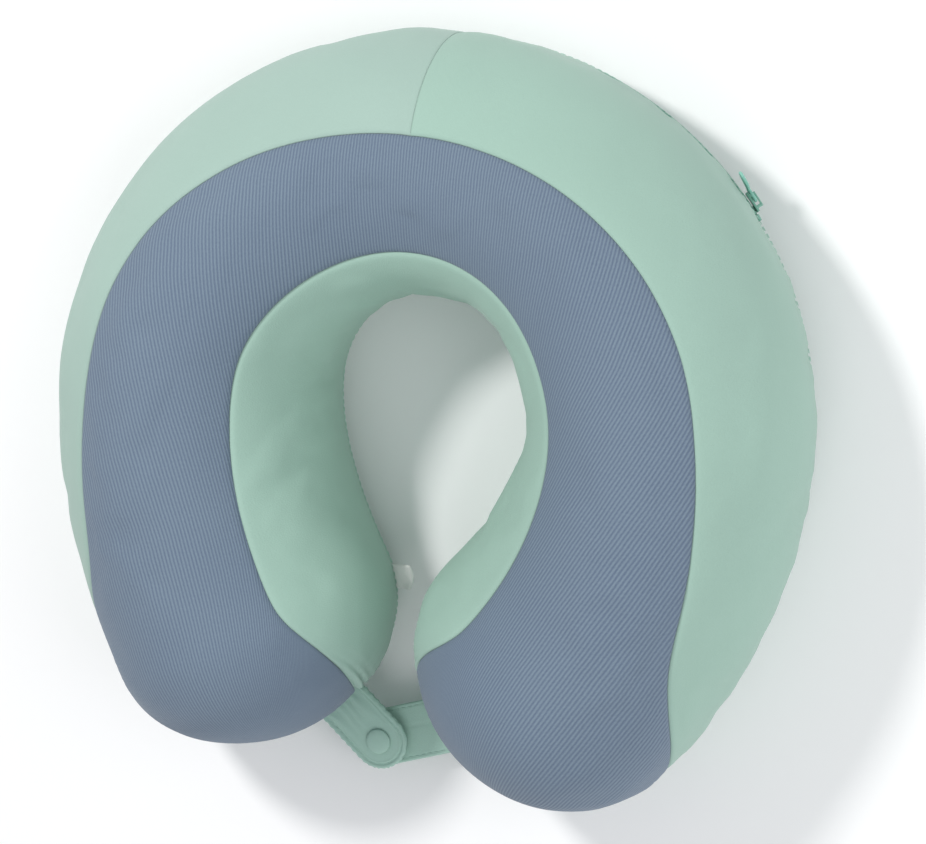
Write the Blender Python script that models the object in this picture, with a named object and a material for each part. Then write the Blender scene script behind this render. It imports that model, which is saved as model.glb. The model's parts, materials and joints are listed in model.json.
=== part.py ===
"""U-shaped neck pillow: a moulded foam horseshoe in a zipped two-tone cover, with a snap closure at its tips.

It lies on its base panel, with the rib-knit panel up (+Z), the neck opening towards -Y and the back to +Y.
Every body of the pillow is a patch of one swept surface. The surface is described by rays: each ray starts on
the crest line of the horseshoe and looks outwards or inwards, and carries the half section on that side.
"""

import math
from collections import namedtuple

import bmesh
import bpy
from mathutils import Matrix, Vector

# Horseshoe in plan. The axis of the neck opening is X = Y = 0 until the finished model is centred.
SPINE_RADIUS = 0.095
OUTER_HALF_WIDTH = 0.050  # at the back, from the spine out
OUTER_CENTRE_OFFSET = 0.0065  # the outer side is round about a point this much nearer the opening
OUTER_RADIUS = SPINE_RADIUS + OUTER_HALF_WIDTH + OUTER_CENTRE_OFFSET
INNER_HALF_WIDTH = 0.0525
TIP_HALF_WIDTH = 0.059
RIGHT_ARM_LENGTH = 0.101
LEFT_ARM_LENGTH = 0.106
RIGHT_ARC = math.radians(94)
LEFT_ARC = math.radians(88)
RIGHT_ARM_BEND = math.radians(35)
LEFT_ARM_BEND = math.radians(33)
ARC_BLEND = 0.035  # the stretch over which the round back turns into the straighter arm, each way
TIP_ROUNDNESS = 0.85  # length of a rounded tip over half its width

# Half section
BACK_HEIGHT = 0.088
SIDE_HEIGHT = 0.106
TIP_HEIGHT = 0.100
WIDEST_HEIGHT = 0.036
BASE_EDGE = 0.018  # how far the flat base stops short of the widest point
BACK_CREST_SHIFT = 0.006  # the back is highest near its outer side and falls towards the neck
BASE_SEAM_HEIGHT = 0.016
OUTER_SEAM_BACK = 0.007  # from the crest line out to the seam between the top panel and an outer panel
OUTER_SEAM_SIDE = 0.025
OUTER_SEAM_TIP = 0.040
INNER_SEAM_BACK = 0.039  # from the crest line in to the seam between the top panel and the inner panel
INNER_SEAM_SIDE = 0.0325
INNER_SEAM_TIP = 0.034
OUTER_FALL_START = 0.80  # share of the arm from which the outer top seam falls towards the base seam
OUTER_FALL_END = math.radians(4)  # turn round the tip at which it gets there
INNER_FALL_START = 0.98
INNER_FALL_END = math.radians(72)
OUTER_FALL_POWER = 2.4
INNER_FALL_POWER = 2.8
LEAST_WALL = 0.0006  # height of a side panel at its pointed ends
CAP_STEP_AT_FALL = math.radians(1.2)  # the turn over which a pointed end closes

# Cover
COVER_THICKNESS = 0.0015
CLEARANCE = 0.0003  # between any two pieces that touch
SEAM_GAP = 0.0003

# Zip along the outer base seam, from its closed end on the right to its open end on the left
ZIP_CLOSED_ANGLE = math.radians(53)
ZIP_OPEN_ANGLE = math.radians(-46)
ZIP_BAND = 0.0055  # half the width of the slot that the tapes fill
ZIP_RELIEF = 0.0035  # how far the foam gives way behind the chain
CHAIN_HALF_WIDTH = 0.0024
CHAIN_SLOT = 0.0006  # half the slot between the rows, which the slider's wedge runs in
CHAIN_THICKNESS = 0.0012
TOOTH_PITCH = 0.0042
TOOTH_DEPTH = 0.0006
TAPE_THICKNESS = 0.0007
SLIDER_LENGTH = 0.0085
SLIDER_PLATE = 0.0009
SLIDER_HALF_WIDTH = 0.0032
SLIDER_WEDGE = 0.0004  # half the thickness of the wedge between the slider's plates
SLIDER_CLEARANCE = 0.0005  # between either plate and the chain, and to the stop at rest
SLIDER_NARROWING = 0.8  # width of the slider's open mouth over the width of its other end
WEDGE_INNER_SHARE = 0.3  # of the slider's half length, where the wedge ends
POST_OUTER_SHARE = 0.75  # of the slider's half length, the far and near sides of the bridge's posts
POST_INNER_SHARE = 0.45
BRIDGE_OPENING = 0.0018  # the puller's ring turns in it
BRIDGE_THICKNESS = 0.0007
BRIDGE_WIDTH = 0.0012
PULLER_LENGTH = 0.0175
PULLER_WIDTH = 0.0052
PULLER_THICKNESS = 0.0011
BLADE_EDGE_SHARE = 0.72  # of the puller's length, where its straight sides end
BLADE_ROUND_SHARE = 0.95  # and where its rounded end is narrowed to the share below
BLADE_ROUND_WIDTH = 0.55
BLADE_TURN = math.radians(30)  # the soft blade lies bent round from its ring, further up the side
PULLER_TURN = math.radians(24)  # how far the resting puller points away from the chain, up the side
RING_HOLE = 0.0022
RING_RIM = 0.0011
STOP_LENGTH = 0.003
ZIP_SLOT_END = math.radians(1)  # the turn over which the slot closes at each end

# Closure
TAB_WIDTH = 0.024
FRONT_TAB_THICKNESS = 0.0022
REAR_TAB_THICKNESS = 0.0016
REAR_TAB_HEIGHT = 0.0095  # of its lower face
TAB_HINGE_DISTANCE = 0.00465  # from the tip to the line that a tab folds about
TAB_ROUND_STEPS = 8  # flats on the round end of a tab at its hinge
TAB_FIT_START = 0.012  # how far inside the tip the search for the tab's sewn edge begins
TAB_FIT_STEP = 0.0001
FRONT_TAB_RAY = math.radians(98)  # where each tab leaves its rounded tip, round from the outer side
REAR_TAB_RAY = math.radians(96)
SNAP_REACH = 0.016  # how far the snap lies outside the line between the tab roots
SNAP_SHIFT = 0.012  # and how far from its middle towards the front tab's tip
SNAP_RADIUS = 0.0052
SNAP_STUD_RADIUS = 0.0019
SNAP_PLAY = 0.0006
SNAP_FLANGE = 0.0005
SNAP_SOCKET_HEIGHT = 0.0013
SNAP_CAP_HEIGHT = 0.0016
SNAP_CAP_RIM = 0.0005  # height of the cap's upright edge
SNAP_CAP_CROWN = 0.6  # radius of the cap's flatter crown over its own
SNAP_CAP_DOME = 0.0003  # rise of the crown
SNAP_STUD_TIP = 0.0005  # height of the stud's rounded tip
SNAP_STUD_WAIST = 0.85  # radius of the stud at its foot over its widest
SNAP_STUD_POINT = 0.8
SNAP_SOCKET_DRAFT = 0.9
SNAP_RIVET_HEIGHT = 0.0008
SNAP_RIVET_CROWN = 0.8
SNAP_RIVET_DOME = 0.0001

# Care label in the inner base seam of the left arm
LABEL_TURN = math.radians(13)  # round the left tip from its neck side
LABEL_WIDTH = 0.011
LABEL_LENGTH = 0.0065
LABEL_THICKNESS = 0.0006
LABEL_STAND_OFF = 0.0009  # the bulging side starts this far behind the label's seam edge

# Mesh density
HALF_STATIONS = 18
CAP_STEPS = 12
EDGE_STEPS = 2
WALL_STEPS = 5
TOP_STEPS = 5
SPINE_SUBSTEPS = 400

MINT = (0.352, 0.584, 0.491, 1.0)
BLUE = (0.195, 0.266, 0.352, 1.0)
FOAM = (0.87, 0.82, 0.70, 1.0)
TEAL = (0.27, 0.53, 0.44, 1.0)
STEEL = (0.62, 0.63, 0.64, 1.0)
WHITE = (0.86, 0.86, 0.84, 1.0)

Ray = namedtuple("Ray", "crest out reach height drop share")
Station = namedtuple("Station", "place along out")


# ---------------------------------------------------------------- shape of the horseshoe


def smooth(value):
    value = min(max(value, 0.0), 1.0)
    return value * value * (3 - 2 * value)


def between(share, back, side, tip):
    """A size that is `back` at the back, `side` halfway and `tip` at the arm's end."""
    if share < 0.5:
        return back + (side - back) * smooth(share / 0.5)
    return side + (tip - side) * smooth((share - 0.5) / 0.5)


def spine(side):
    """Stations along one half of the spine as (distance, x, y, heading), from the back to the arm's end."""
    arc = RIGHT_ARC if side > 0 else LEFT_ARC
    bend = RIGHT_ARM_BEND if side > 0 else LEFT_ARM_BEND
    arm_length = RIGHT_ARM_LENGTH if side > 0 else LEFT_ARM_LENGTH
    arc_length = SPINE_RADIUS * arc
    step = (arc_length + arm_length) / SPINE_SUBSTEPS
    x, y, heading = 0.0, SPINE_RADIUS, 0.0
    points = [(0.0, x, y, heading)]
    for index in range(SPINE_SUBSTEPS):
        middle = (index + 0.5) * step
        arm = smooth((middle - arc_length + ARC_BLEND) / (2 * ARC_BLEND))
        curvature = (1 - arm) / SPINE_RADIUS + arm * bend / arm_length
        turned = heading + curvature * step / 2
        x += math.cos(turned) * step
        y -= math.sin(turned) * step
        heading += curvature * step
        points.append(((index + 1) * step, x, y, heading))
    return points


SPINES = {1: spine(1), -1: spine(-1)}


def station(side, share):
    """The spine at a share of its half length: its place, its direction and its outward direction."""
    points = SPINES[side]
    scaled = share * SPINE_SUBSTEPS
    low = min(int(scaled), SPINE_SUBSTEPS - 1)
    part = scaled - low
    _, x, y, heading = (a + (b - a) * part for a, b in zip(points[low], points[low + 1]))
    along = Vector((math.cos(heading) * side, -math.sin(heading)))
    out = Vector((math.sin(heading) * side, math.cos(heading)))
    return Station(Vector((x * side, y)), along, out)


def half_length(side):
    return SPINES[side][-1][0]


def outer_half_width(turned):
    """From the round part of the spine out to the circle of the outer side, at an angle from the back."""
    across = OUTER_CENTRE_OFFSET * math.sin(turned)
    return math.sqrt(OUTER_RADIUS**2 - across**2) - OUTER_CENTRE_OFFSET * math.cos(turned) - SPINE_RADIUS


def seam_drop(outer, share, turn, reach, rise):
    """How far below the crest the top panel ends, at a share of the arm or a turn round the tip."""
    if outer > 0:
        start, end, power = OUTER_FALL_START, OUTER_FALL_END, OUTER_FALL_POWER
        away = between(share, OUTER_SEAM_BACK, OUTER_SEAM_SIDE, OUTER_SEAM_TIP)
    else:
        start, end, power = INNER_FALL_START, INNER_FALL_END, INNER_FALL_POWER
        away = between(share, INNER_SEAM_BACK, INNER_SEAM_SIDE, INNER_SEAM_TIP)
    drop = rise * (1 - math.sqrt(1 - (away / reach) ** 2))
    arm = (1 - start) * (half_length(1) + half_length(-1)) / 2
    tip = end * TIP_HALF_WIDTH
    passed = max(share - start, 0.0) / (1 - start) * arm + turn * TIP_HALF_WIDTH
    fallen = min(passed / (arm + tip), 1.0)
    lowest = TIP_HEIGHT - BASE_SEAM_HEIGHT
    if turn > end + CAP_STEP_AT_FALL / 2:
        return lowest
    return drop + (lowest - LEAST_WALL - drop) * fallen**power


def side_ray(side, share, outer):
    """The ray of a spine station that looks outwards (outer 1) or towards the neck (outer -1)."""
    at = station(side, share)
    shift = BACK_CREST_SHIFT * (1 - smooth(share / 0.45))
    turned = min(share * half_length(side) / SPINE_RADIUS, math.pi / 2)
    width = outer_half_width(turned) if outer > 0 else INNER_HALF_WIDTH
    width += (TIP_HALF_WIDTH - width) * smooth((share - 0.5) / 0.5)
    height = between(share, BACK_HEIGHT, SIDE_HEIGHT, TIP_HEIGHT)
    reach = width - shift * outer
    drop = seam_drop(outer, share, 0.0, reach, height - WIDEST_HEIGHT)
    return Ray(at.place + at.out * shift, at.out * outer, reach, height, drop, share)


def cap_ray(side, angle):
    """A ray of the rounded tip: 0 looks to the outer side, 90 degrees along the arm, 180 to the neck side."""
    at = station(side, 1.0)
    look = at.out * math.cos(angle) + at.along * (math.sin(angle) * TIP_ROUNDNESS)
    reach = TIP_HALF_WIDTH * look.length
    outer, turn = (1, angle) if angle < math.pi / 2 else (-1, math.pi - angle)
    drop = seam_drop(outer, 1.0, turn, reach, TIP_HEIGHT - WIDEST_HEIGHT)
    return Ray(at.place, look.normalized(), reach, TIP_HEIGHT, drop, 1.0)


def position(ray, level):
    """The section's point and outward normal at a level: -1 base centre, 0 edge of the flat base,
    1 widest point, 2 crest."""
    flat = ray.reach - BASE_EDGE
    if level <= 0:
        return flat * (1 + level), 0.0, 0.0, -1.0
    if level <= 1:
        angle = (1 - level) * math.pi / 2
        across, up = WIDEST_HEIGHT * math.cos(angle), -BASE_EDGE * math.sin(angle)
        norm = math.hypot(across, up)
        reach = flat + BASE_EDGE * math.cos(angle)
        return reach, WIDEST_HEIGHT * (1 - math.sin(angle)), across / norm, up / norm
    angle = (level - 1) * math.pi / 2
    rise = ray.height - WIDEST_HEIGHT
    across, up = rise * math.cos(angle), ray.reach * math.sin(angle)
    norm = math.hypot(across, up)
    return ray.reach * math.cos(angle), WIDEST_HEIGHT + rise * math.sin(angle), across / norm, up / norm


def level_at(ray, height):
    if height <= WIDEST_HEIGHT:
        return 1 - math.asin(1 - height / WIDEST_HEIGHT) / (math.pi / 2)
    return 1 + math.asin((height - WIDEST_HEIGHT) / (ray.height - WIDEST_HEIGHT)) / (math.pi / 2)


def point(ray, level, inset):
    reach, height, across, up = position(ray, level)
    reach = max(reach - inset * across, 0.0)
    height -= inset * up
    plan = ray.crest + ray.out * reach
    return Vector((plan.x, plan.y, height))


def base_level(ray):
    return level_at(ray, BASE_SEAM_HEIGHT)


def top_level(ray):
    return level_at(ray, max(ray.height - ray.drop, BASE_SEAM_HEIGHT))


def level_step(ray, level, distance):
    """The level that lies `distance` further along the section."""
    reach_a, height_a, _, _ = position(ray, level)
    reach_b, height_b, _, _ = position(ray, level + 0.01)
    return level + 0.01 * distance / math.hypot(reach_b - reach_a, height_b - height_a)


# ---------------------------------------------------------------- rays of the whole pillow


def side_shares(side, first=0.0):
    """Shares of a half spine from the first one: an even grid, and the two that end the zip's slot."""
    end = ZIP_CLOSED_ANGLE if side > 0 else -ZIP_OPEN_ANGLE
    slot = [zip_share(side, turn) for turn in (end, end + ZIP_SLOT_END)]
    grid = [index / HALF_STATIONS for index in range(1, HALF_STATIONS + 1)]
    kept = [share for share in grid if min(abs(share - other) for other in slot) > 0.01]
    return [first] + sorted(kept + slot)


def cap_rays(side, from_outer):
    grid = [math.pi * index / CAP_STEPS for index in range(1, CAP_STEPS)]
    ends = [OUTER_FALL_END, OUTER_FALL_END + CAP_STEP_AT_FALL]
    ends += [math.pi - INNER_FALL_END - CAP_STEP_AT_FALL, math.pi - INNER_FALL_END]
    kept = [angle for angle in grid if min(abs(angle - end) for end in ends) > math.radians(3)]
    angles = sorted(kept + ends)
    if not from_outer:
        angles.reverse()
    return [cap_ray(side, angle) for angle in angles]


def loop_rays():
    """Every ray once, clockwise: outer side from the left tip to the right, and back along the neck."""
    rays = [side_ray(-1, share, 1) for share in reversed(side_shares(-1)[1:])]
    rays += [side_ray(1, share, 1) for share in side_shares(1)]
    rays += cap_rays(1, True)
    rays += [side_ray(1, share, -1) for share in reversed(side_shares(1)[1:])]
    rays += [side_ray(-1, share, -1) for share in side_shares(-1)]
    rays += cap_rays(-1, False)
    return rays


def zip_share(side, turn):
    """The share of the half spine whose outward ray meets the outer circle at a turn about its centre."""
    across = OUTER_RADIUS * math.sin(turn)
    back = OUTER_RADIUS * math.cos(turn) - OUTER_CENTRE_OFFSET
    return math.atan2(across, back) * SPINE_RADIUS / half_length(side)


def zip_angle(ray):
    """The turn of the ray's end about the outer circle's centre, clockwise, or None off the round side."""
    if ray.out.dot(ray.crest) < 0 or ray.share > 0.5:
        return None
    end = ray.crest + ray.out * ray.reach
    return math.atan2(end.x, end.y + OUTER_CENTRE_OFFSET)


def zip_cover(ray):
    """1 along the zip's slot and 0 elsewhere."""
    angle = zip_angle(ray)
    if angle is None:
        return 0.0
    margin = min(ZIP_CLOSED_ANGLE - angle, angle - ZIP_OPEN_ANGLE)
    return 1.0 if margin > -ZIP_SLOT_END / 2 else 0.0


def steps(first, last, count):
    return [first + (last - first) * index / count for index in range(count + 1)]


def foam_levels(ray):
    base, top = base_level(ray), top_level(ray)
    return steps(0, base, EDGE_STEPS) + steps(base, top, WALL_STEPS)[1:] + steps(top, 2, TOP_STEPS)[1:]


# ---------------------------------------------------------------- mesh helpers


def material(name, color, roughness, metallic=0.0):
    made = bpy.data.materials.new(name)
    made.use_nodes = True
    shader = made.node_tree.nodes["Principled BSDF"]
    shader.inputs["Base Color"].default_value = color
    shader.inputs["Roughness"].default_value = roughness
    shader.inputs["Metallic"].default_value = metallic
    return made


def finish(name, mesh, look, shade_smooth=True, origin=None):
    """Turns a bmesh into a named object with its own material, its origin where it is hung from."""
    bmesh.ops.remove_doubles(mesh, verts=mesh.verts, dist=2e-6)
    bmesh.ops.dissolve_degenerate(mesh, edges=mesh.edges, dist=1e-6)
    bmesh.ops.recalc_face_normals(mesh, faces=mesh.faces)
    if mesh.calc_volume(signed=True) < 0:
        bmesh.ops.reverse_faces(mesh, faces=mesh.faces)
    data = bpy.data.meshes.new(name)
    if origin is not None:
        bmesh.ops.translate(mesh, verts=mesh.verts, vec=-origin)
    mesh.to_mesh(data)
    mesh.free()
    for face in data.polygons:
        face.use_smooth = shade_smooth
    data.materials.append(material(name + "_finish", *look))
    made = bpy.data.objects.new(name, data)
    made.location = origin or Vector()
    bpy.context.scene.collection.objects.link(made)
    return made


def quad(mesh, a, b, c, d):
    """Two triangles, always cut the same way, so that nested panels keep their gap."""
    for corners in ((a, b, c), (a, c, d)):
        if len({corner.co.to_tuple(7) for corner in corners}) == 3:
            mesh.faces.new(corners)


def skin(mesh, rows, closed):
    """Vertex rows joined into a surface; returns the rows."""
    made = [[mesh.verts.new(place) for place in row] for row in rows]
    pairs = list(zip(made, made[1:])) + ([(made[-1], made[0])] if closed else [])
    for one, other in pairs:
        for index in range(len(one) - 1):
            quad(mesh, one[index], one[index + 1], other[index + 1], other[index])
    return made


def panel(name, rays, levels, look, closed):
    """A piece of cover: an outer and an inner surface over the rays, joined round their open edges.
    A closed one has its seam edge at the first level; its last level meets itself."""
    mesh = bmesh.new()
    outer = skin(mesh, [[point(ray, level, 0) for level in levels(ray)] for ray in rays], closed)
    inner = skin(
        mesh, [[point(ray, level, COVER_THICKNESS) for level in levels(ray)] for ray in rays], closed
    )
    ends = [0] if closed else [0, -1]
    following = list(range(1, len(rays))) + ([0] if closed else [])
    for index, after in enumerate(following):
        for end in ends:
            quad(mesh, outer[index][end], outer[after][end], inner[after][end], inner[index][end])
    if not closed:
        for end in (0, -1):
            for low in range(len(outer[end]) - 1):
                quad(mesh, outer[end][low], outer[end][low + 1], inner[end][low + 1], inner[end][low])
    return finish(name, mesh, look)


# ---------------------------------------------------------------- soft bodies


def make_foam():
    mesh = bmesh.new()
    inset = COVER_THICKNESS + CLEARANCE
    rows = []
    for ray in loop_rays():
        levels = foam_levels(ray)
        row = [point(ray, -1, inset)]
        for index, level in enumerate(levels):
            relief = ZIP_RELIEF * zip_cover(ray) if index == EDGE_STEPS else 0.0
            row.append(point(ray, level, inset + relief))
        rows.append(row)
    skin(mesh, rows, True)
    return finish("foam_core", mesh, (FOAM, 0.9))


def make_top_panel():
    def levels(ray):
        top = top_level(ray)
        return [level_step(ray, top, SEAM_GAP / 2)] + steps(top, 2, TOP_STEPS)[1:]

    return panel("top_panel", loop_rays(), levels, (BLUE, 0.85), closed=True)


def make_bottom_panel():
    def levels(ray):
        gap = SEAM_GAP / 2 + ZIP_BAND * zip_cover(ray)
        base = base_level(ray)
        return [level_step(ray, base, -gap)] + steps(base, 0, EDGE_STEPS)[1:] + [-1]

    return panel("bottom_panel", loop_rays(), levels, (MINT, 0.85), closed=True)


def wall_levels(ray):
    base, top = base_level(ray), top_level(ray)
    first = level_step(ray, base, SEAM_GAP / 2 + ZIP_BAND * zip_cover(ray))
    last = level_step(ray, top, -SEAM_GAP / 2)
    return [first] + steps(base, top, WALL_STEPS)[1:-1] + [last]


def has_wall(ray):
    levels = wall_levels(ray)
    return levels[-1] > levels[0]


def first_run(rays):
    """The rays up to the side panel's pointed end."""
    kept = []
    for ray in rays:
        if not has_wall(ray):
            break
        kept.append(ray)
    return kept


def make_outer_panel(name, side):
    seam = SEAM_GAP / 2 / half_length(side)
    rays = [side_ray(side, share, 1) for share in side_shares(side, seam)]
    rays += cap_rays(side, True)
    rays = first_run(rays)
    if side < 0:
        rays.reverse()
    return panel(name, rays, wall_levels, (MINT, 0.8), closed=False)


def make_inner_panel():
    right = [side_ray(1, share, -1) for share in side_shares(1)[1:]]
    right += cap_rays(1, False)
    left = [side_ray(-1, share, -1) for share in side_shares(-1)]
    left += cap_rays(-1, False)
    rays = list(reversed(first_run(right))) + first_run(left)
    return panel("inner_panel", rays, wall_levels, (MINT, 0.8), closed=False)


# ---------------------------------------------------------------- zip


def zip_frame(angle):
    """Place and directions on the outer base seam: travel towards the open end, up the side, and out."""
    ray = side_ray(1, 0.0, 1)
    reach, height, across, up = position(ray, base_level(ray))
    radius = OUTER_RADIUS - (ray.reach - reach)
    away = Vector((math.sin(angle), math.cos(angle), 0.0))
    travel = Vector((-math.cos(angle), math.sin(angle), 0.0))
    out = away * across + Vector((0, 0, up))
    rise = Vector((0, 0, across)) - away * up
    return away * radius + Vector((0, -OUTER_CENTRE_OFFSET, height)), travel, rise, out


def zip_point(angle, offset, inset):
    place, _, rise, out = zip_frame(angle)
    return place + rise * offset - out * inset


def zip_strip(name, angles, low, high, inset, thickness, look):
    """A closed strip along the zip, from offset low to high at each angle."""
    mesh = bmesh.new()
    rings = []
    for index, angle in enumerate(angles):
        a, b = low(index), high(index)
        ring = [(a, inset), (b, inset), (b, inset + thickness), (a, inset + thickness)]
        rings.append([mesh.verts.new(zip_point(angle, *corner)) for corner in ring])
    for one, other in zip(rings, rings[1:]):
        for corner in range(4):
            after = (corner + 1) % 4
            mesh.faces.new((one[corner], one[after], other[after], other[corner]))
    mesh.faces.new(rings[0])
    mesh.faces.new(rings[-1])
    return finish(name, mesh, look, shade_smooth=False)


def make_tape(name, sign):
    angles = steps(ZIP_OPEN_ANGLE, ZIP_CLOSED_ANGLE, 2 * HALF_STATIONS)
    near = sign * (CHAIN_HALF_WIDTH + CLEARANCE)
    far = sign * (ZIP_BAND - 2 * CLEARANCE)
    return zip_strip(name, angles, lambda _: near, lambda _: far, CLEARANCE, TAPE_THICKNESS, (TEAL, 0.8))


def make_teeth(name, sign):
    """One row of the chain: a cord with a tooth on every second station, meshing with the other row."""
    first = ZIP_OPEN_ANGLE + STOP_LENGTH / OUTER_RADIUS
    last = ZIP_CLOSED_ANGLE - STOP_LENGTH / OUTER_RADIUS
    count = 2 * round((last - first) * OUTER_RADIUS / TOOTH_PITCH)
    angles = steps(first, last, count)

    def near(index):
        return sign * (CHAIN_SLOT + (TOOTH_DEPTH if index % 2 else 0.0))

    far = sign * CHAIN_HALF_WIDTH
    return zip_strip(name, angles, near, lambda _: far, 0.0, CHAIN_THICKNESS, (TEAL, 0.5))


def make_stop(name, angle, sign):
    inner = angle - sign * (STOP_LENGTH - CLEARANCE) / OUTER_RADIUS
    low = -CHAIN_HALF_WIDTH
    angles = sorted((inner, angle))
    return zip_strip(
        name, angles, lambda _: low, lambda _: -low, -CLEARANCE, CHAIN_THICKNESS, (TEAL, 0.45)
    )


def zip_matrix(angle):
    place, travel, rise, out = zip_frame(angle)
    return Matrix.Translation(place) @ Matrix((travel, rise, out)).transposed().to_4x4()


def add_block(mesh, low, high, taper=1.0):
    """A box between two corners; its two far ends along X are narrowed across Y to `taper`."""
    size = [b - a for a, b in zip(low, high)]
    middle = [(a + b) / 2 for a, b in zip(low, high)]
    made = bmesh.ops.create_cube(mesh, size=1.0)["verts"]
    for vert in made:
        narrow = taper if vert.co.x > 0 else 1.0
        vert.co = Vector(
            (
                middle[0] + vert.co.x * size[0],
                middle[1] + vert.co.y * size[1] * narrow,
                middle[2] + vert.co.z * size[2],
            )
        )
    return made


def join_blocks(blocks):
    """Blocks united into one closed body."""
    made = []
    for index, (low, high, taper) in enumerate(blocks):
        mesh = bmesh.new()
        add_block(mesh, low, high, taper)
        data = bpy.data.meshes.new(f"block_{index}")
        mesh.to_mesh(data)
        mesh.free()
        made.append(bpy.data.objects.new(f"block_{index}", data))
        bpy.context.scene.collection.objects.link(made[-1])
    whole = made[0]
    for other in made[1:]:
        union = whole.modifiers.new("union", "BOOLEAN")
        union.operation = "UNION"
        union.solver = "EXACT"
        union.object = other
    evaluated = whole.evaluated_get(bpy.context.evaluated_depsgraph_get())
    result = bmesh.new()
    result.from_mesh(evaluated.to_mesh())
    for helper in made:
        data = helper.data
        bpy.data.objects.remove(helper)
        bpy.data.meshes.remove(data)
    return result


SLIDER_ANGLE = ZIP_CLOSED_ANGLE - (STOP_LENGTH + SLIDER_LENGTH / 2 + SLIDER_CLEARANCE) / OUTER_RADIUS


def zip_axis_place():
    return Vector((0, -OUTER_CENTRE_OFFSET, BASE_SEAM_HEIGHT))


def make_slider():
    """Slider body: outer plate, under plate, the wedge between them and the bridge for the puller."""
    half = SLIDER_LENGTH / 2
    wide = SLIDER_HALF_WIDTH
    above = SLIDER_CLEARANCE
    below = -(CHAIN_THICKNESS + SLIDER_CLEARANCE)
    post = BRIDGE_WIDTH / 2
    roof = above + SLIDER_PLATE + BRIDGE_OPENING + BRIDGE_THICKNESS
    under = roof - BRIDGE_THICKNESS
    lap = SLIDER_PLATE / 2
    far, near, inner = half * POST_OUTER_SHARE, half * POST_INNER_SHARE, half * WEDGE_INNER_SHARE
    small = wide * SLIDER_NARROWING
    blocks = [
        ((-half, -wide, above), (half, wide, above + SLIDER_PLATE), SLIDER_NARROWING),
        ((-half, -small, below - lap), (half, small, below), SLIDER_NARROWING),
        ((-half, -SLIDER_WEDGE, below - lap / 2), (-inner, SLIDER_WEDGE, above + lap), 1.0),
        ((-far, -post, above + lap), (-near, post, roof), 1.0),
        ((near, -post, above + lap), (far, post, roof), 1.0),
        ((-far, -post, under), (far, post, roof), 1.0),
    ]
    mesh = join_blocks(blocks)
    bmesh.ops.transform(mesh, matrix=zip_matrix(SLIDER_ANGLE), verts=mesh.verts)
    return finish("zip_slider", mesh, (TEAL, 0.4), shade_smooth=False, origin=zip_axis_place())


def puller_frame():
    """The puller's hinge: its place under the bridge, the direction the puller points, its axis and out."""
    place, travel, rise, out = zip_frame(SLIDER_ANGLE)
    height = SLIDER_CLEARANCE + SLIDER_PLATE + BRIDGE_OPENING / 2
    points = travel * math.cos(PULLER_TURN) + rise * math.sin(PULLER_TURN)
    axis = out.cross(points)
    return place + out * height, points, axis, out


def make_puller():
    """Blade with a ring at its root, lying back along the side of the pillow."""
    place, points, axis, out = puller_frame()
    mesh = bmesh.new()
    half = PULLER_THICKNESS / 2
    middle = Vector((RING_HOLE + RING_RIM / 2, 0))
    count = 16
    rim, hole = [], []
    for index in range(count):
        angle = 2 * math.pi * (index + 0.5) / count
        spoke = Vector((math.cos(angle), math.sin(angle)))
        rim.append(middle + spoke * (RING_HOLE + RING_RIM))
        hole.append(middle + spoke * RING_HOLE)
    length, wide = PULLER_LENGTH, PULLER_WIDTH / 2
    blade = [Vector((length * BLADE_EDGE_SHARE, wide))]
    blade += [Vector((length * BLADE_ROUND_SHARE, wide * BLADE_ROUND_WIDTH)), Vector((length, 0.0))]
    blade += [Vector((spot.x, -spot.y)) for spot in reversed(blade[:-1])]
    turn = Matrix.Rotation(BLADE_TURN, 2)
    blade = [middle + turn @ (Vector((spot.x, -spot.y)) - middle) for spot in blade]
    outline = [rim[-1]] + blade + rim[1:-1]
    layers = []
    for height in (half, -half):
        outer = [mesh.verts.new((spot.x, spot.y, height)) for spot in outline]
        inner = [mesh.verts.new((spot.x, spot.y, height)) for spot in hole]
        edges = [mesh.edges.new((a, b)) for a, b in zip(outer, outer[1:] + outer[:1])]
        edges += [mesh.edges.new((a, b)) for a, b in zip(inner, inner[1:] + inner[:1])]
        bmesh.ops.triangle_fill(mesh, edges=edges, use_beauty=True)
        layers.append((outer, inner))
    for upper, lower in zip(*layers):
        for index in range(len(upper)):
            after = (index + 1) % len(upper)
            mesh.faces.new((upper[index], upper[after], lower[after], lower[index]))
    frame = Matrix.Translation(place) @ Matrix((points, axis, out)).transposed().to_4x4()
    bmesh.ops.transform(mesh, matrix=frame, verts=mesh.verts)
    return finish("zip_puller", mesh, (TEAL, 0.45), shade_smooth=False, origin=place)


# ---------------------------------------------------------------- closure


def tip_point(side, angle, height, gap):
    """The cover's surface on a rounded tip at a height, moved out by a gap."""
    ray = cap_ray(side, angle)
    reach, _, _, _ = position(ray, level_at(ray, height))
    return ray.crest + ray.out * (reach + gap)


def tab_root(side, angle):
    """Plan place of a tab's root and the direction it leaves the tip in, square to the tip's outline."""
    one = tip_point(side, angle - 0.02, BASE_SEAM_HEIGHT, 0.0)
    other = tip_point(side, angle + 0.02, BASE_SEAM_HEIGHT, 0.0)
    lies = (other - one).normalized()
    leaves = Vector((lies.y, -lies.x))
    if leaves.dot(cap_ray(side, angle).out) < 0:
        leaves.negate()
    return (one + other) / 2, leaves


def snap_place():
    """Where the snap closes: on the middle line between the two roots, a little outside it."""
    left, left_way = tab_root(-1, FRONT_TAB_RAY)
    right, right_way = tab_root(1, REAR_TAB_RAY)
    outwards = (left_way + right_way).normalized()
    return (left + right) / 2 + outwards * SNAP_REACH + (left - right).normalized() * SNAP_SHIFT


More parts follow.
